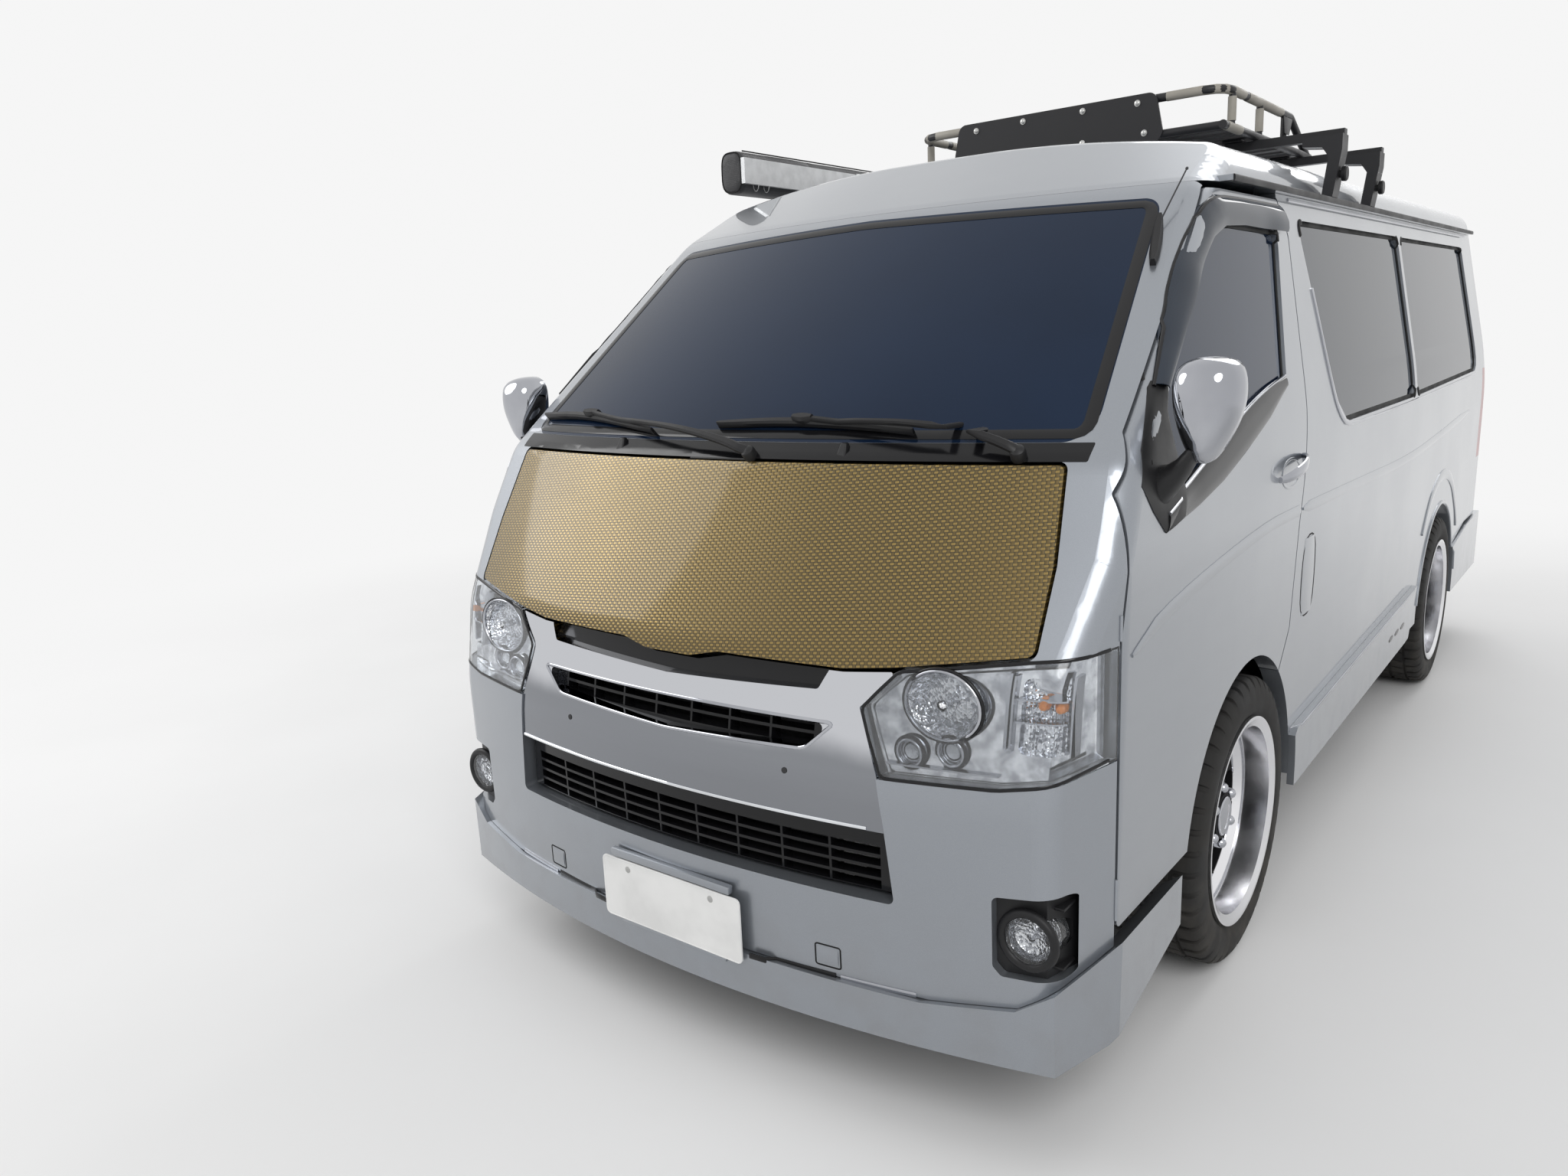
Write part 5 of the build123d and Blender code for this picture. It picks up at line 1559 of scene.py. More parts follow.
    def _handle(self, hand: Side, body: str) -> None:
        """The chrome pull with its dish and the lock."""
        y, z = self.handle
        lean = math.radians(self.handle_lean)
        stops = 17
        rings = []
        for k in range(stops):
            share = k / (stops - 1)
            along = (share - 0.5) * self.handle_long
            lift = 0.004 + 0.026 * math.sin(math.pi * share) ** 0.55
            tall = 0.0075 + 0.0075 * math.sin(math.pi * share) ** 0.5
            place, normal = self.skin.side(hand, y + along * math.cos(lean), z + along * math.sin(lean))
            up = Vector((0, -math.sin(lean), math.cos(lean)))
            rings.append([place + normal * (lift + 0.0055 * a) + up * tall * b for a, b in circle(12)])
        pull = loft(f"door_pull_{hand.word}", rings)
        self.shop.keep(pull, "bright chrome", body)
        loop = self.skin.sides(hand, [(y + 8 + 78 * a, z - 14 + 34 * b) for a, b in circle(28)])
        self.strip(f"pull_dish_{hand.word}", loop, 0.0035, 0.0014, "silver lacquer", body, closed=True)
        place, normal = self.skin.side(hand, y + 128, z + 10)
        lock = spun(f"door_lock_{hand.word}", place, self.lock, normal, 24)
        self.shop.keep(lock, "bright chrome", body)

    def _mirror_glass(self, hand: Side, body: str) -> None:
        """The glass at the back of the door mirror."""
        loop = [(hand.value * x, z) for x, z in soften(self.glass_edge, 2, True)]
        mid_x, mid_z = hand.value * 912.0, 1330.0
        rings = []
        for scale, y in self.glass_steps:
            rings.append([at(mid_x + (x - mid_x) * scale, y, mid_z + (z - mid_z) * scale) for x, z in loop])
        glass = loft(f"mirror_glass_{hand.word}", rings)
        self.shop.keep(glass, "mirror glass", body)

    def _mirror(self, hand: Side, body: str) -> None:
        """The mirror's chrome shell, which stands for the plain solid, and its black foot."""
        outline = soften(self.shell_edge, 2, True)
        mid_x, mid_z = 912.0, 1345.0
        rings = []
        for y, scale in self.shell_steps:
            rings.append([at(hand.value * (mid_x + (x - mid_x) * scale), y,
                             mid_z + (z - mid_z) * scale + (1 - scale) * 14) for x, z in outline])
        shell = smooth(loft(f"mirror_shell_{hand.word}", rings), 50)
        self.shop.keep(shell, "bright chrome", body)
        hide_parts(f"mirror_{hand.word}")
        rings = []
        for x, z, wide, tall in self.foot_steps:
            rings.append([at(hand.value * x, -590 + wide * a, z + tall * b) for a, b in circle(16)])
        foot = smooth(loft(f"mirror_foot_{hand.word}", rings), 60)
        self.shop.keep(foot, "black plastic", body)

    def _crease(self, hand: Side, body: str) -> None:
        """The soft pressed line across the door."""
        line = resample(soften([(-735, 925), (-560, 975), (26, 1029), (319, 1027), (345, 1026)], 2), 40)
        places = self.skin.sides(hand, line)
        last = len(places) - 1
        widths = [0.014 * (0.25 + 0.75 * min(1.0, k / 5, (last - k) / 2)) for k in range(last + 1)]
        self.strip(f"door_crease_{hand.word}", places, widths, 0.0030, "silver lacquer", body)


@dataclass
class SideTrim(Trim):
    """Window rubbers, bright lower trim, fuel door, creases, arch lips, gutters and sill edges."""

    windows: tuple = (
        ((560, 1728), (700, 1290), (835, 1205), (1840, 1210), (1840, 1745)),
        ((1880, 1745), (1880, 1210), (3240, 1235), (3290, 1260), (3230, 1762)),
    )
    arch_r: float = 394.0
    arch_y: float = 2555.0
    arch_z: float = 345.0

    def build(self) -> None:
        """Makes the trim of both sides."""
        for hand in Side:
            for make in (
                self._windows, self._lower_trim, self._crease, self._arches, self._gutter, self._sill,
            ):
                make(hand)
        self._fuel_door()

    def _windows(self, hand: Side) -> None:
        """Dark rubber round each pane."""
        for index, window in enumerate(self.windows):
            loop = soften(resample(inset(window, 4), 60, True), 2, True)
            places = self.skin.sides(hand, loop)
            self.strip(f"pane_rubber_{index}_{hand.word}", places, 0.0075, 0.0030, "rubber seal", closed=True)

    def _lower_trim(self, hand: Side) -> None:
        """The bright line under the panes, thick at the front corner."""
        path = [(612, 1560), (650, 1430), (690, 1295), (745, 1232), (835, 1192), (1200, 1195), (1840, 1198),
                (3240, 1222)]
        line = resample(soften(path, 2), 40)
        places = self.skin.sides(hand, line)
        widths = [0.0035 + 0.0055 * math.exp(-((y - 760) / 130) ** 2) for y, _ in line]
        self.strip(f"pane_lower_trim_{hand.word}", places, widths, 0.0045, "bright chrome")

    def _crease(self, hand: Side) -> None:
        """The soft pressed line along the side behind the door."""
        path = [(372, 1026), (900, 1018), (1753, 1002), (2400, 1030), (3118, 1070)]
        line = resample(soften(path, 2), 60)
        places = self.skin.sides(hand, line)
        last = len(places) - 1
        widths = [0.014 * (0.25 + 0.75 * min(1.0, k / 2, (last - k) / 5)) for k in range(last + 1)]
        self.strip(f"side_crease_{hand.word}", places, widths, 0.0030, "silver lacquer")

    def _arches(self, hand: Side) -> None:
        """A rolled lip round the rear arch and a wide flare above it."""
        for label, radius, low, high, half, thick in (
            ("lip", self.arch_r + 5, 8, 172, 0.007, 0.0055),
            ("flare", self.arch_r + 118, 28, 140, 0.020, 0.0050),
        ):
            line = []
            for degrees in range(low, high + 1, 4):
                angle = math.radians(degrees)
                line.append((self.arch_y + radius * math.cos(angle), self.arch_z + radius * math.sin(angle)))
            places = self.skin.sides(hand, line)
            last = len(places) - 1
            widths = [half * (0.3 + 0.7 * min(1.0, k / 5, (last - k) / 5)) for k in range(last + 1)]
            self.strip(f"arch_{label}_{hand.word}", places, widths, thick, "silver lacquer")

    def _gutter(self, hand: Side) -> None:
        """The dark gutter rail and the bright strip under it."""
        for name, ends, height, half, thick, finish in (
            ("gutter_rail", (-10, 3440), 1782.0, 0.0070, 0.0035, "black plastic"),
            ("roof_strip", (500, 3400), 1766.0, 0.0045, 0.0030, "bright chrome"),
        ):
            places = self.skin.sides(hand, [(y, height + RAKE * y) for y in range(*ends, 60)])
            self.strip(f"{name}_{hand.word}", places, half, thick, finish)

    def _sill(self, hand: Side) -> None:
        """The bright top edge of the skirt and three dark slots near its end."""
        line = [(y, 452 + (y - 372) * 0.0295) for y in range(376, 2031, 46)]
        places = self.skin.sides(hand, line)
        self.strip(f"skirt_edge_{hand.word}", places, 0.0040, 0.0030, "bright chrome")
        slots = []
        for y in (1560, 1660, 1760):
            row = [self.skin.side(hand, y + k * 16, 405 + k * 1.0) for k in range(5)]
            slots.append(self.skin.moulding("slot", row, [0.004, 0.008, 0.009, 0.008, 0.004], 0.0010))
        self.shop.keep(join(f"skirt_slots_{hand.word}", slots), "gloss black")

    def _fuel_door(self) -> None:
        """The fuel filler's door on the driver's side, with its joint line."""
        corners = [(405, 738), (520, 738), (532, 850), (520, 948), (420, 948), (398, 850)]
        outline = soften(corners, 2, True)
        places = self.skin.sides(Side.LEFT, resample(outline, 14, True))
        self.strip("fuel_door_joint", places, 0.0020, 0.0008, "rubber seal", closed=True)
        rows = []
        for share in (-1, -0.8, -0.4, 0, 0.4, 0.8, 1):
            half = 57 * (1 - 0.18 * abs(share) ** 3)
            rows.append([self.skin.side(Side.LEFT, 464 + half * t, 843 + share * 100)
                         for t in (-1, -0.7, 0, 0.7, 1)])
        door = self.skin.patch("fuel_door", rows, 0.0020, 0.002)
        self.shop.keep(door, "silver lacquer")


@dataclass
class Wheels:
    """Treaded tyres and the bright pieces of the wheels."""

    shop: Workshop
    hub_z: float = 0.341
    pitches: int = 44
    places: tuple = (
        # name, side, track, y of the axle
        ("front_left", 1, 0.736, -1.305), ("front_right", -1, 0.736, -1.305),
        ("rear_left", 1, 0.742, 1.265), ("rear_right", -1, 0.742, 1.265),
    )
    half_section: tuple = (
        # along the axle and radius in millimetres, then how deep a shoulder cut, a centre cut
        (-99.7, 229.0, 0, 0), (-101.0, 240.0, 0, 0), (-103.0, 250.0, 0, 0), (-108.0, 256.0, 0, 0),
        (-111.5, 272.0, 0, 0), (-112.0, 290.0, 0, 0), (-110.5, 306.0, 0, 0), (-108.5, 316.0, 2.0, 0),
        (-105.0, 326.0, 5.0, 0), (-99.0, 334.5, 7.0, 0), (-90.0, 339.2, 7.0, 0), (-60.0, 340.6, 7.0, 0),
        (-59.0, 333.0, 0, 0), (-51.0, 333.0, 0, 0), (-50.0, 340.9, 0, 5.0), (-7.0, 341.0, 0, 5.0),
        (-6.0, 333.0, 0, 0),
    )
    inner: tuple = ((85.0, 229.0, 0, 0), (-85.0, 229.0, 0, 0))
    tread: tuple = (
        # share of one pitch, whether the shoulders are cut, whether the centre is cut
        (0.0, 0, 0), (0.22, 0, 0), (0.25, 0, 1), (0.38, 0, 1), (0.41, 0, 0), (0.70, 0, 0), (0.73, 1, 0),
        (0.97, 1, 0),
    )
    slant: float = 0.035
    nut: tuple = (
        (0.0, 0.0135), (0.012, 0.0125), (0.018, 0.0115), (0.0225, 0.008), (0.0245, 0.004), (0.025, 0.0),
    )
    cap: tuple = (
        (0.0, 0.047), (0.004, 0.047), (0.006, 0.0445), (0.0045, 0.041), (0.006, 0.030), (0.0085, 0.016),
        (0.009, 0.0),
    )
    spokes: int = 6

    def build(self) -> None:
        """Models one tyre and one set of bright pieces, and copies them to every wheel."""
        tyre = self._tyre()
        nuts = self._nuts()
        edges = self._edges()
        for name, side, track, axle_y in self.places:
            place = (side * track, axle_y, self.hub_z)
            for model, label, finish in (
                (tyre, "tyre_tread", "tyre rubber"), (nuts, "wheel_nuts", "bright chrome"),
                (edges, "wheel_edges", "bright chrome"),
            ):
                piece = placed(model, f"{label}_{name}", (side, 1.0, 1.0), place)
                self.shop.keep(piece, finish, f"wheel_{name}_body")
                if label == "tyre_tread":
                    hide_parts(f"tyre_{name}")
        for model in (tyre, nuts, edges):
            bpy.data.objects.remove(model, do_unlink=True)

    def _tyre(self) -> Piece:
        """A tyre about the X axis, with grooves round it and cuts across its blocks."""
        other_half = [(-x, radius, deep, middle) for x, radius, deep, middle in reversed(self.half_section)]
        section = (*self.half_section, *other_half, *self.inner)
        rings = []
        for pitch in range(self.pitches):
            for share, shoulder, centre in self.tread:
                angle = 2 * math.pi * (pitch + share) / self.pitches
                ring = []
                for x, radius, deep, middle in section:
                    slant = self.slant * x / 60.0 if abs(x) < 60 else math.copysign(self.slant, x)
                    reach = (radius - deep * shoulder - middle * centre) * MM
                    turn = angle + slant * (1 if radius > 300 else 0)
                    ring.append((x * MM, reach * math.cos(turn), reach * math.sin(turn)))
                rings.append(ring)
        return loft("tyre_model", rings, True)

    def _nuts(self) -> Piece:
        """Six domed nuts and the hub's cap ring."""
        pieces = []
        for index in range(self.spokes):
            angle = 2 * math.pi * (index + 0.5) / self.spokes
            centre = (0.046, 0.070 * math.cos(angle), 0.070 * math.sin(angle))
            pieces.append(spun("nut", centre, self.nut, (1, 0, 0), 20))
        pieces.append(spun("cap", (0.0615, 0, 0), self.cap, (1, 0, 0), 40))
        return join("nut_model", pieces)

    def _edges(self) -> Piece:
        """Bright lines along the openings' outer edges and at the lip's step."""
        pieces = []
        for index in range(self.spokes):
            middle = 2 * math.pi * index / self.spokes + math.pi / self.spokes
            rings = []
            for step in range(-8, 9):
                angle = middle + step * 0.040
                half = 0.0038 * math.cos(step / 8 * math.pi / 2) + 0.0005
                radius = 0.190 + 0.001 * math.cos(step / 8 * math.pi / 2)
                ring = []
                for u, v in ((-1, -0.3), (-0.6, 0.8), (0.6, 0.8), (1, -0.3)):
                    reach = radius + u * half
                    ring.append((0.0258 + 0.0022 * v, reach * math.cos(angle), reach * math.sin(angle)))
                rings.append(ring)
            pieces.append(loft("crescent", rings))
        for radius, x, bar in ((0.2205, 0.0425, 0.0016), (0.2415, 0.1065, 0.0012)):
            ring = hoop((x, 0, 0), (0, math.pi / 2, 0), (radius, bar), (72, 8))
            pieces.append(smooth(settle(ring), 60))
        return join("edge_model", pieces)


@dataclass
class RoofRack:
    """Sleeves, bolts, knobs and clamps of the basket, its bars and the awning's rail."""

    shop: Workshop
    left: float = 560.0
    right: float = -350.0
    front: float = 580.0
    low_z: float = 1985.3
    top_z: float = 2077.0
    bars: tuple[float, float] = (860.0, 1330.0)
    deflector: tuple = (
        # x and z of the deflector's bolts
        (-150, 2070), (0, 2074), (180, 2074), (335, 2070), (-175, 1992), (0, 1990), (180, 1990),
        (355, 1992),
    )
    gusset: tuple = ((1085, 2066), (1178, 2066), (1150, 2020), (1100, 2020))
    washer: tuple = (
        (-0.0005, 0.0085), (0.0015, 0.0085), (0.0015, 0.0062), (0.0050, 0.0060), (0.0062, 0.0040),
        (0.0064, 0.0),
    )
    nut: tuple = ((-0.001, 0.008), (0.005, 0.008), (0.007, 0.006), (0.0075, 0.0))
    head: tuple = ((-0.002, 0.008), (0.004, 0.008), (0.006, 0.0055), (0.0065, 0.0))
    knob: tuple = (
        (-0.004, 0.010), (0.004, 0.010), (0.005, 0.019), (0.015, 0.020), (0.018, 0.017), (0.019, 0.0),
    )
    bolt: tuple = ((-0.001, 0.0075), (0.004, 0.0075), (0.0055, 0.005), (0.006, 0.0))

    def build(self) -> None:
        """Makes every small piece of the rack."""
        self._sleeves()
        self._deflector_bolts()
        self._clamps()
        self._bar_feet()
        self._rail_clamps()

    def _sleeves(self) -> None:
        """Beige sleeves round the basket's front corners, posts and side rails."""
        bar = 0.0122
        pieces = []
        for x, turn in ((self.left, -1), (self.right, 1)):
            bend = ((150, 0), (62, 0), (26, 10), (8, 30), (0, 62), (0, 150))
            for route, z in ((bend, self.top_z), (((0, 12), (0, 130)), self.low_z)):
                points = [at(x + turn * a, self.front + b, z) for a, b in route]
                pieces.append(tube("sleeve", points, bar, sides=16))
            for y in (self.front + 60, 885.0):
                ends = [at(x, y, self.low_z + 16), at(x, y, self.top_z - 16)]
                pieces.append(tube("post_sleeve", ends, 0.0112, sides=16))
        for x in (self.left, self.right):
            pieces.append(tube("rail_sleeve", [at(x, 760, self.top_z), at(x, 1090, self.top_z)], bar,
                               sides=16))
        for x in (-60, 105, 270):
            ends = [at(x - 52, self.front, self.top_z), at(x + 52, self.front, self.top_z)]
            pieces.append(tube("front_sleeve", ends, bar, sides=16))
        self.shop.keep(join("basket_sleeves", pieces), "sleeve beige")
        plates = []
        for x, side in ((self.left, 1), (self.right, -1)):
            outline = [at(x + side * 11.5, y, z) for y, z in self.gusset]
            plates.append(bevelled(plate("gusset", outline, (-side * 0.004, 0, 0)), 0.0008))
        self.shop.keep(join("basket_gussets", plates), "rack coat")

    def _deflector_bolts(self) -> None:
        """Silver bolts along the deflector's top and bottom."""
        pieces = [spun("bolt", at(x, 563.7, z), self.washer, (0, -1, 0), 16) for x, z in self.deflector]
        self.shop.keep(join("deflector_bolts", pieces), "zinc steel")

    def _clamps(self) -> None:
        """Clamp blocks that hold the basket on its bars."""
        pieces = []
        for y in self.bars:
            for x in (self.left - 60, 105.0, self.right + 60):
                pieces.append(block("clamp", at(x - 26, y - 21, 1975.6), at(x + 26, y + 21, 1982), 0.0015))
                pieces.append(spun("nut", at(x, y, 1982), self.nut, (0, 0, 1), 6))
        self.shop.keep(join("basket_clamps", pieces), "rack coat")

    def _bar_feet(self) -> None:
        """Bolt heads and round knobs at the bars' feet."""
        heads = []
        knobs = []
        for y in self.bars:
            for side in (-1, 1):
                for offset in (-18, 18):
                    heads.append(spun("head", at(side * 781, y + offset, 1905), self.head, (side, 0, 0), 6))
                knobs.append(spun("knob", at(side * 782, y, 1860), self.knob, (side, 0, 0), 24))
        self.shop.keep(join("bar_bolts", heads), "zinc steel")
        self.shop.keep(join("bar_knobs", knobs), "black plastic")

    def _rail_clamps(self) -> None:
        """Two-bolt clamps and wire clips on the awning's rail."""
        clamps = []
        bolts = []
        for y in (*self.bars, 1990.0):
            clamps.append(block("clamp", at(-775.8, y - 14, 1976), at(-770, y + 14, 2052), 0.002))
            for z in (1996, 2034):
                bolts.append(spun("bolt", at(-770.2, y, z), self.bolt, (1, 0, 0), 6))
        self.shop.keep(join("rail_clamps", clamps), "rail aluminium")
        self.shop.keep(join("rail_bolts", bolts), "zinc steel")
        loops = []
        for y in (300.0, 352.0):
            points = []
            for step in range(13):
                angle = math.pi * step / 12
                points.append(at(-783 + 11 * math.cos(angle), y, 1975 - 20 * math.sin(angle)))
            loops.append(tube("clip", points, 0.0013, sides=8))
        self.shop.keep(join("rail_clips", loops), "zinc steel")


@dataclass
class AwningBag:
    """The long soft bag with its folded ends, seam and straps."""

    shop: Workshop
    centre: tuple[float, float] = (-835.3, 2012.0)
    half: tuple[float, float] = (43.5, 64.5)
    ends: tuple[float, float] = (242.0, 2238.0)
    straps: tuple = (620.0, 1240.0, 1860.0)
    tuck: tuple = ((0.0, 0.05), (0.6, 0.55), (2.0, 0.82), (7.0, 0.94))
    squareness: float = 0.62

    def _ring(self, y: float, grow: float, puff: float) -> list[Point]:
        """One cross-section of the bag at a place along it."""
        points = []
        for step, (cosine, sine) in enumerate(circle(36)):
            angle = 2 * math.pi * step / 36
            wide = math.copysign(abs(cosine) ** self.squareness, cosine)
            tall = math.copysign(abs(sine) ** self.squareness, sine)
            sag = -1.5 * (1 + sine) * puff
            fold = 0.9 * math.sin(5 * angle + y * 0.011) * math.sin(y * 0.0061 + 1.3)
            points.append(at(
                self.centre[0] + (self.half[0] - 1.6 + puff + fold) * grow * wide,
                y,
                self.centre[1] + ((self.half[1] - 1.6 + puff + fold) * tall + sag * 0.3) * grow,
            ))
        return points

    def build(self) -> None:
        """Makes the bag, its seam, its end caps and its straps."""
        low, high = self.ends
        rings = []
        for step, grow in self.tuck:
            rings.append(self._ring(low + step, grow, 0.0))
        y = low + 15.0
        while y < high - 14:
            pinch = min(abs(y - strap) for strap in self.straps)
            puff = 1.4 * (1 - math.exp(-(pinch / 45.0) ** 2)) - 1.6 * math.exp(-(pinch / 26.0) ** 2)
            rings.append(self._ring(y, 1.0, puff))
            y += 12.5
        for step, grow in reversed(self.tuck):
            rings.append(self._ring(high - step, grow, 0.0))
        bag = smooth(loft("awning_cover", rings), 70)
        self.shop.keep(bag, "bag cloth")
        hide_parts("awning_bag")
        seams = []
        for y, grow in ((low + 5, 0.935), (high - 5, 0.935)):
            seams.append(tube("welt", self._ring(y, grow + 0.012, 0.0), 0.0020, True, 8))
        zip_line = [at(self.centre[0] + 30, y, self.centre[1] + 62.6)
                    for y in range(int(low) + 25, int(high) - 24, 40)]
        seams.append(tube("closure", zip_line, 0.0022, sides=8))
        self.shop.keep(join("awning_seams", seams), "rubber seal")
        bands = []
        for strap in self.straps:
            rings = []
            for y, grow in ((strap - 14, 0.985), (strap - 13.5, 1.004), (strap + 13.5, 1.004),
                            (strap + 14, 0.985)):
                rings.append(self._ring(y, grow, -0.9))
            bands.append(loft("band", rings))
        self.shop.keep(join("awning_straps", bands), "black plastic")


@dataclass
class Antenna(Trim):
    """The whip on the driver's windscreen pillar."""

    foot: tuple = ((714, 1598), (709, 1616), (701, 1644), (693, 1670), (686, 1694))
    tip: Point = (714.0, -140.0, 1794.0)
    knob: tuple = ((-0.003, 0.0016), (0.0, 0.0032), (0.003, 0.0026), (0.004, 0.0))

    def build(self) -> None:
        """Makes the base along the pillar and the whip above it."""
        places = self.skin.fronts(self.foot)
        self.strip("antenna_base", places, [0.006, 0.010, 0.011, 0.010, 0.006], 0.016, "black plastic")
        start, normal = places[3]
        first = start + normal * 0.012
        last = Vector(at(*self.tip))
        whip = tube("antenna_whip", [tuple(first.lerp(last, k / 6)) for k in range(7)], 0.0016, sides=8)
        knob = spun("tip", tuple(last), self.knob, last - first, 12)
        self.shop.keep(join("antenna_mast", [whip, knob]), "dark steel")


@dataclass
class Seats:
    """Padded seats and benches, crowned between their seams."""

    shop: Workshop
    places: tuple = (
        # left edge, right edge, y of the front edge, z of the underside, number of pads across
        (140.0, 620.0, -140.0, 785.3, 1), (-620.0, -140.0, -140.0, 785.3, 1),
        (-300.0, 700.0, 1000.0, 850.0, 2), (-300.0, 700.0, 1780.0, 850.0, 2),
        (-300.0, 700.0, 2560.0, 850.0, 2),
    )
    cushion: tuple = ((6, 4), (508, 4), (420, 118), (8, 124))
    backrest: tuple = ((425, 122), (514, 20), (584, 612), (512, 612))

    def build(self) -> None:
        """Makes every cushion and backrest."""
        pads = []
        for low, high, y, z, count in self.places:
            wide = (high - low) / count
            for index in range(count):
                x0 = low + index * wide
                for label, outline in (("cushion", self.cushion), ("backrest", self.backrest)):
                    corners = [(y + along, z + up) for along, up in outline]
                    pads.append(self._pad(label, x0 + 4, x0 + wide - 4, corners))
        seats = join("padded_seats", pads)
        self.shop.keep(seats, "seat cloth")
        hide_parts("seats")

    def _pad(self, name: str, low: float, high: float, outline: Path) -> Piece:
        """One pad: a block shaped to a side outline, subdivided, crowned and grooved.

        Args:
            name: Name of the pad.
            low: Its edge towards the passenger's side in millimetres.
            high: Its other edge in millimetres.
            outline: Four corners in side view: y behind the front axle and z.

        Returns:
            The new closed mesh object.
        """
        deselect()
        bpy.ops.mesh.primitive_cube_add(size=2.0, location=(0, 0, 0))
        piece = named(name)
        for vertex in piece.data.vertices:
            x, y, z = vertex.co
            corner = outline[{(-1, -1): 0, (1, -1): 1, (1, 1): 2, (-1, 1): 3}[(round(y), round(z))]]
            vertex.co = at(low if x < 0 else high, corner[0], corner[1])
        edit(piece)
        bpy.ops.mesh.subdivide(number_cuts=11)
        bpy.ops.mesh.normals_make_consistent(inside=False)
        bpy.ops.object.mode_set(mode="OBJECT")
        mesh = piece.data
        box_low = Vector([min(v.co[k] for v in mesh.vertices) for k in range(3)])
        box_high = Vector([max(v.co[k] for v in mesh.vertices) for k in range(3)])
        middle = (box_low + box_high) / 2
        normals = [vertex.normal.copy() for vertex in mesh.vertices]
        for vertex, normal in zip(mesh.vertices, normals):
            u = (vertex.co.x - middle.x) / max(box_high.x - box_low.x, 0.001) * 2
            channel = math.exp(-((abs(u) - 0.62) / 0.045) ** 2)
            rim = max(abs(u) ** 6, 0.0)
            crown = (1 - abs(u) ** 2.5) * 0.004
            vertex.co += normal * (crown - 0.006 - 0.007 * channel - 0.010 * rim)
        rounding = piece.modifiers.new("round", "SUBSURF")
        rounding.levels = 1
        rounding.render_levels = 1
        apply_modifiers(piece)
        return smooth(piece, 80)


@dataclass
class Tail(Trim):
    """Rubber, handle, wiper, lamp panels and corner strips of the tail."""

    window: tuple = ((-575, 1240), (575, 1240), (535, 1750), (-535, 1750))
    corner: tuple = (
        # z and the x of the inner edge of the strip beside the tailgate
        (1296, 656), (1340, 653), (1380, 649), (1420, 645), (1480, 640), (1540, 635), (1600, 630),
        (1660, 624), (1720, 619), (1760, 615), (1790, 613), (1828, 610),
    )
    cap: tuple = ((-0.004, 0.018), (0.018, 0.016), (0.022, 0.010), (0.023, 0.0))
    corner_y: float = 3622.1
    corner_lean: float = 0.085

    def build(self) -> None:
        """Makes every small piece of the tail."""
        loop = soften(resample(inset(self.window, 4), 70, True), 2, True)
        places = [self.skin.tail(x, z) for x, z in loop]
        self.strip("tail_rubber", places, 0.008, 0.003, "rubber seal", "tailgate_body", closed=True)
        row = [self.skin.tail(x, 872) for x in range(-230, 231, 23)]
        widths = [0.010 + 0.012 * math.sin(math.pi * k / 20) for k in range(21)]
        self.strip("tail_handle", row, widths, 0.012, "bright chrome", "tailgate_body")
        blade = [self.skin.tail(x, 1262 + 0.03 * (x + 60)) for x in range(-60, 341, 25)]
        wiper = self.skin.moulding("tail_wiper_blade", blade, 0.006, 0.014)
        hub, normal = self.skin.tail(-60, 1215)
        reach = [(hub.lerp(blade[8][0], k / 6) + normal * 0.014, normal) for k in range(7)]
        arm = self.skin.moulding("tail_wiper_arm", reach, 0.007, 0.007)
        cap = spun("cap", hub, self.cap, normal, 24)
        self.shop.keep(join("tail_wiper", [wiper, arm, cap]), "black plastic", "tailgate_body")
        for hand in Side:
            for label, low, high, finish in (
                ("amber", 1110, 1205, "lamp amber"), ("clear", 985, 1050, "lamp reflector"),
            ):
                rows = [[self.skin.tail(hand.value * x, z) for x in range(690, 801, 22)]
                        for z in range(low, high + 1, 13)]
                piece = self.skin.patch(f"tail_lamp_{label}_{hand.word}", rows, 0.003, 0.0025)
                self.shop.keep(piece, finish)
            self._corner_strip(hand)

    def _corner_strip(self, hand: Side) -> None:
        """A body-coloured strip that fills the corner beside the tailgate's upper edge."""
        rings = []
        for z, x in self.corner:
            y = self.corner_y - (z - 1340) * self.corner_lean
            rings.append([at(hand.value * a, b, z)
                          for a, b in ((x, y - 24), (x, y - 3), (x + 3, y), (664, y), (664, y - 24))])
        strip = loft(f"tail_corner_{hand.word}", rings)
        self.shop.keep(strip, "silver lacquer")


# Studio and camera


@dataclass(frozen=True)
class PhotoCamera:
    """The photograph's viewpoint, solved from the van's own points."""

    place: Point = (1.5435, -3.8619, 1.4758)
    yaw: float = 38.698
    pitch: float = -12.219
    roll: float = -2.645
    sensor: float = 36.0
    lens: float = 25.594

    def build(self) -> Piece:
        """Creates the camera and makes it the scene's own."""
        yaw = math.radians(self.yaw)
        pitch = math.radians(self.pitch)
        roll = math.radians(self.roll)
        ahead = Vector((-math.sin(yaw) * math.cos(pitch), math.cos(yaw) * math.cos(pitch), math.sin(pitch)))
        level = Vector((math.cos(yaw), math.sin(yaw), 0.0))
        upright = level.cross(ahead)
        right = level * math.cos(roll) + upright * math.sin(roll)
        above = upright * math.cos(roll) - level * math.sin(roll)
        bpy.ops.object.camera_add()
        camera = named("photo_camera")
        turn = Matrix((right, above, -ahead)).transposed().to_4x4()
        camera.matrix_world = Matrix.Translation(self.place) @ turn
        camera.data.sensor_width = self.sensor
        camera.data.lens = self.lens
        camera.data.clip_end = 200.0
        bpy.context.scene.camera = camera
        return camera


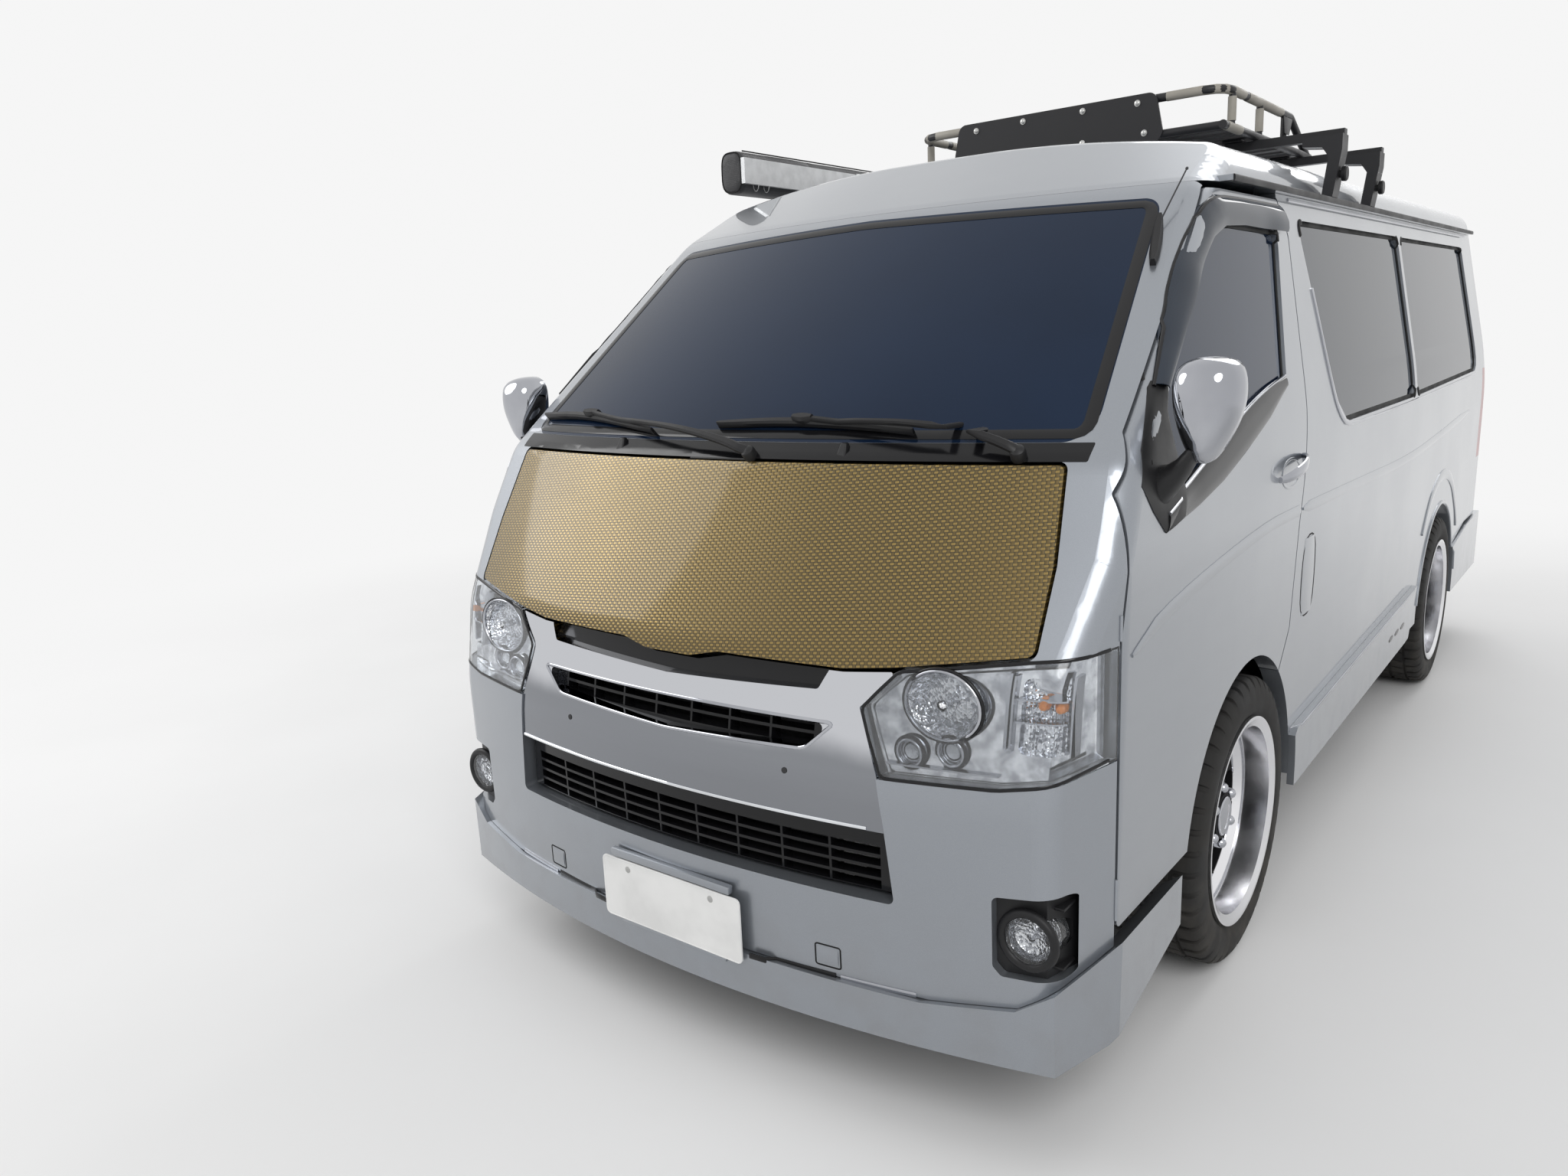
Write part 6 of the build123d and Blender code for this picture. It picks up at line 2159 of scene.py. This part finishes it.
@dataclass(frozen=True)
class Studio:
    """A pale floor, a white surround and soft lamps."""

    floor_half: float = 40.0
    fade: tuple[float, float] = (2.8, 6.5)
    surround: Colour = (0.92, 0.92, 0.92)
    fill: float = 0.55
    lamps: tuple = (
        # place, aim, size, watts
        ((5.0, -6.5, 6.0), (0.0, -0.5, 0.8), 5.0, 300.0),
        ((-6.0, -4.0, 5.0), (0.0, 0.0, 0.9), 5.0, 190.0),
        ((0.5, 6.5, 6.5), (0.0, 0.5, 1.2), 6.0, 220.0),
    )

    def build(self) -> None:
        """Makes the floor, the lamps and the world."""
        deselect()
        bpy.ops.mesh.primitive_plane_add(size=2 * self.floor_half, location=(0, 0, 0))
        floor = named("studio_floor")
        floor.data.materials.append(self._floor_material())
        for index, (place, aim, size, watts) in enumerate(self.lamps):
            bpy.ops.object.light_add(type="AREA", location=place)
            lamp = named(f"studio_lamp_{index}")
            lamp.data.shape = "DISK"
            lamp.data.size = size
            lamp.data.energy = watts
            lamp.rotation_euler = (Vector(aim) - Vector(place)).to_track_quat("-Z", "Y").to_euler()
        self._world()
        bpy.context.scene.view_settings.view_transform = "Standard"

    def _floor_material(self) -> bpy.types.Material:
        """A pale floor that keeps shadows and fades to white far off."""
        material, nodes, shader = start_material("studio floor")
        patches = nodes.group(effects().variation, Scale=0.8, Low=0.75, High=0.85)
        tone = nodes.blend(patches["Mask"], (0.80, 0.80, 0.80), (0.83, 0.83, 0.83))
        nodes.fill(shader, {"Base Color": tone, "Roughness": patches["Value"]})
        _, axes = nodes.position()
        wide = nodes.math("MULTIPLY", axes["X"], axes["X"])
        deep = nodes.math("MULTIPLY", axes["Y"], axes["Y"])
        far = nodes.ramp(nodes.math("SQRT", nodes.math("ADD", wide, deep)), *self.fade)
        paths = nodes.add("ShaderNodeLightPath").outputs
        seen = nodes.math("MAXIMUM", paths["Is Camera Ray"], paths["Is Glossy Ray"])
        glow = nodes.add("ShaderNodeEmission", {0: self.surround})
        values = {0: nodes.math("MULTIPLY", far, seen), 1: shader.outputs[0], 2: glow.outputs[0]}
        mix = nodes.add("ShaderNodeMixShader", values)
        nodes.fill(material.node_tree.nodes["Material Output"], {0: mix.outputs[0]})
        return material

    def _world(self) -> None:
        """White to the camera, in gloss and through glass, and softer as a light."""
        world = bpy.data.worlds.new("studio world")
        bpy.context.scene.world = world
        world.use_nodes = True
        nodes = Nodes(world.node_tree)
        world.node_tree.nodes.clear()
        paths = nodes.add("ShaderNodeLightPath").outputs
        seen = nodes.math("MAXIMUM", paths["Is Camera Ray"], paths["Is Glossy Ray"])
        seen = nodes.math("MAXIMUM", seen, paths["Is Transmission Ray"])
        dim = nodes.add("ShaderNodeBackground", {0: (1.0, 1.0, 1.0), 1: self.fill})
        bright = nodes.add("ShaderNodeBackground", {0: self.surround, 1: 1.0})
        mix = nodes.add("ShaderNodeMixShader", {0: seen, 1: dim.outputs[0], 2: bright.outputs[0]})
        nodes.add("ShaderNodeOutputWorld", {0: mix.outputs[0]})


def main() -> None:
    """Loads the frame and builds the whole scene."""
    logging.basicConfig(level=logging.INFO, format="%(message)s")
    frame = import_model()
    shop = Workshop(Palette(), frame)
    PhotoCamera().build()
    Studio().build()
    dress_nodes(shop)
    skin = Skin()
    for part in (
        Windscreen(shop, skin), Headlamps(shop, skin), FrontTrim(shop, skin), DoorTrim(shop, skin),
        SideTrim(shop, skin), Wheels(shop), RoofRack(shop), AwningBag(shop), Antenna(shop, skin),
        Seats(shop), Tail(shop, skin),
    ):
        count = len(shop.made)
        part.build()
        LOG.info("%s: %s", type(part).__name__, ", ".join(shop.made[count:]))


if __name__ == "__main__":
    main()
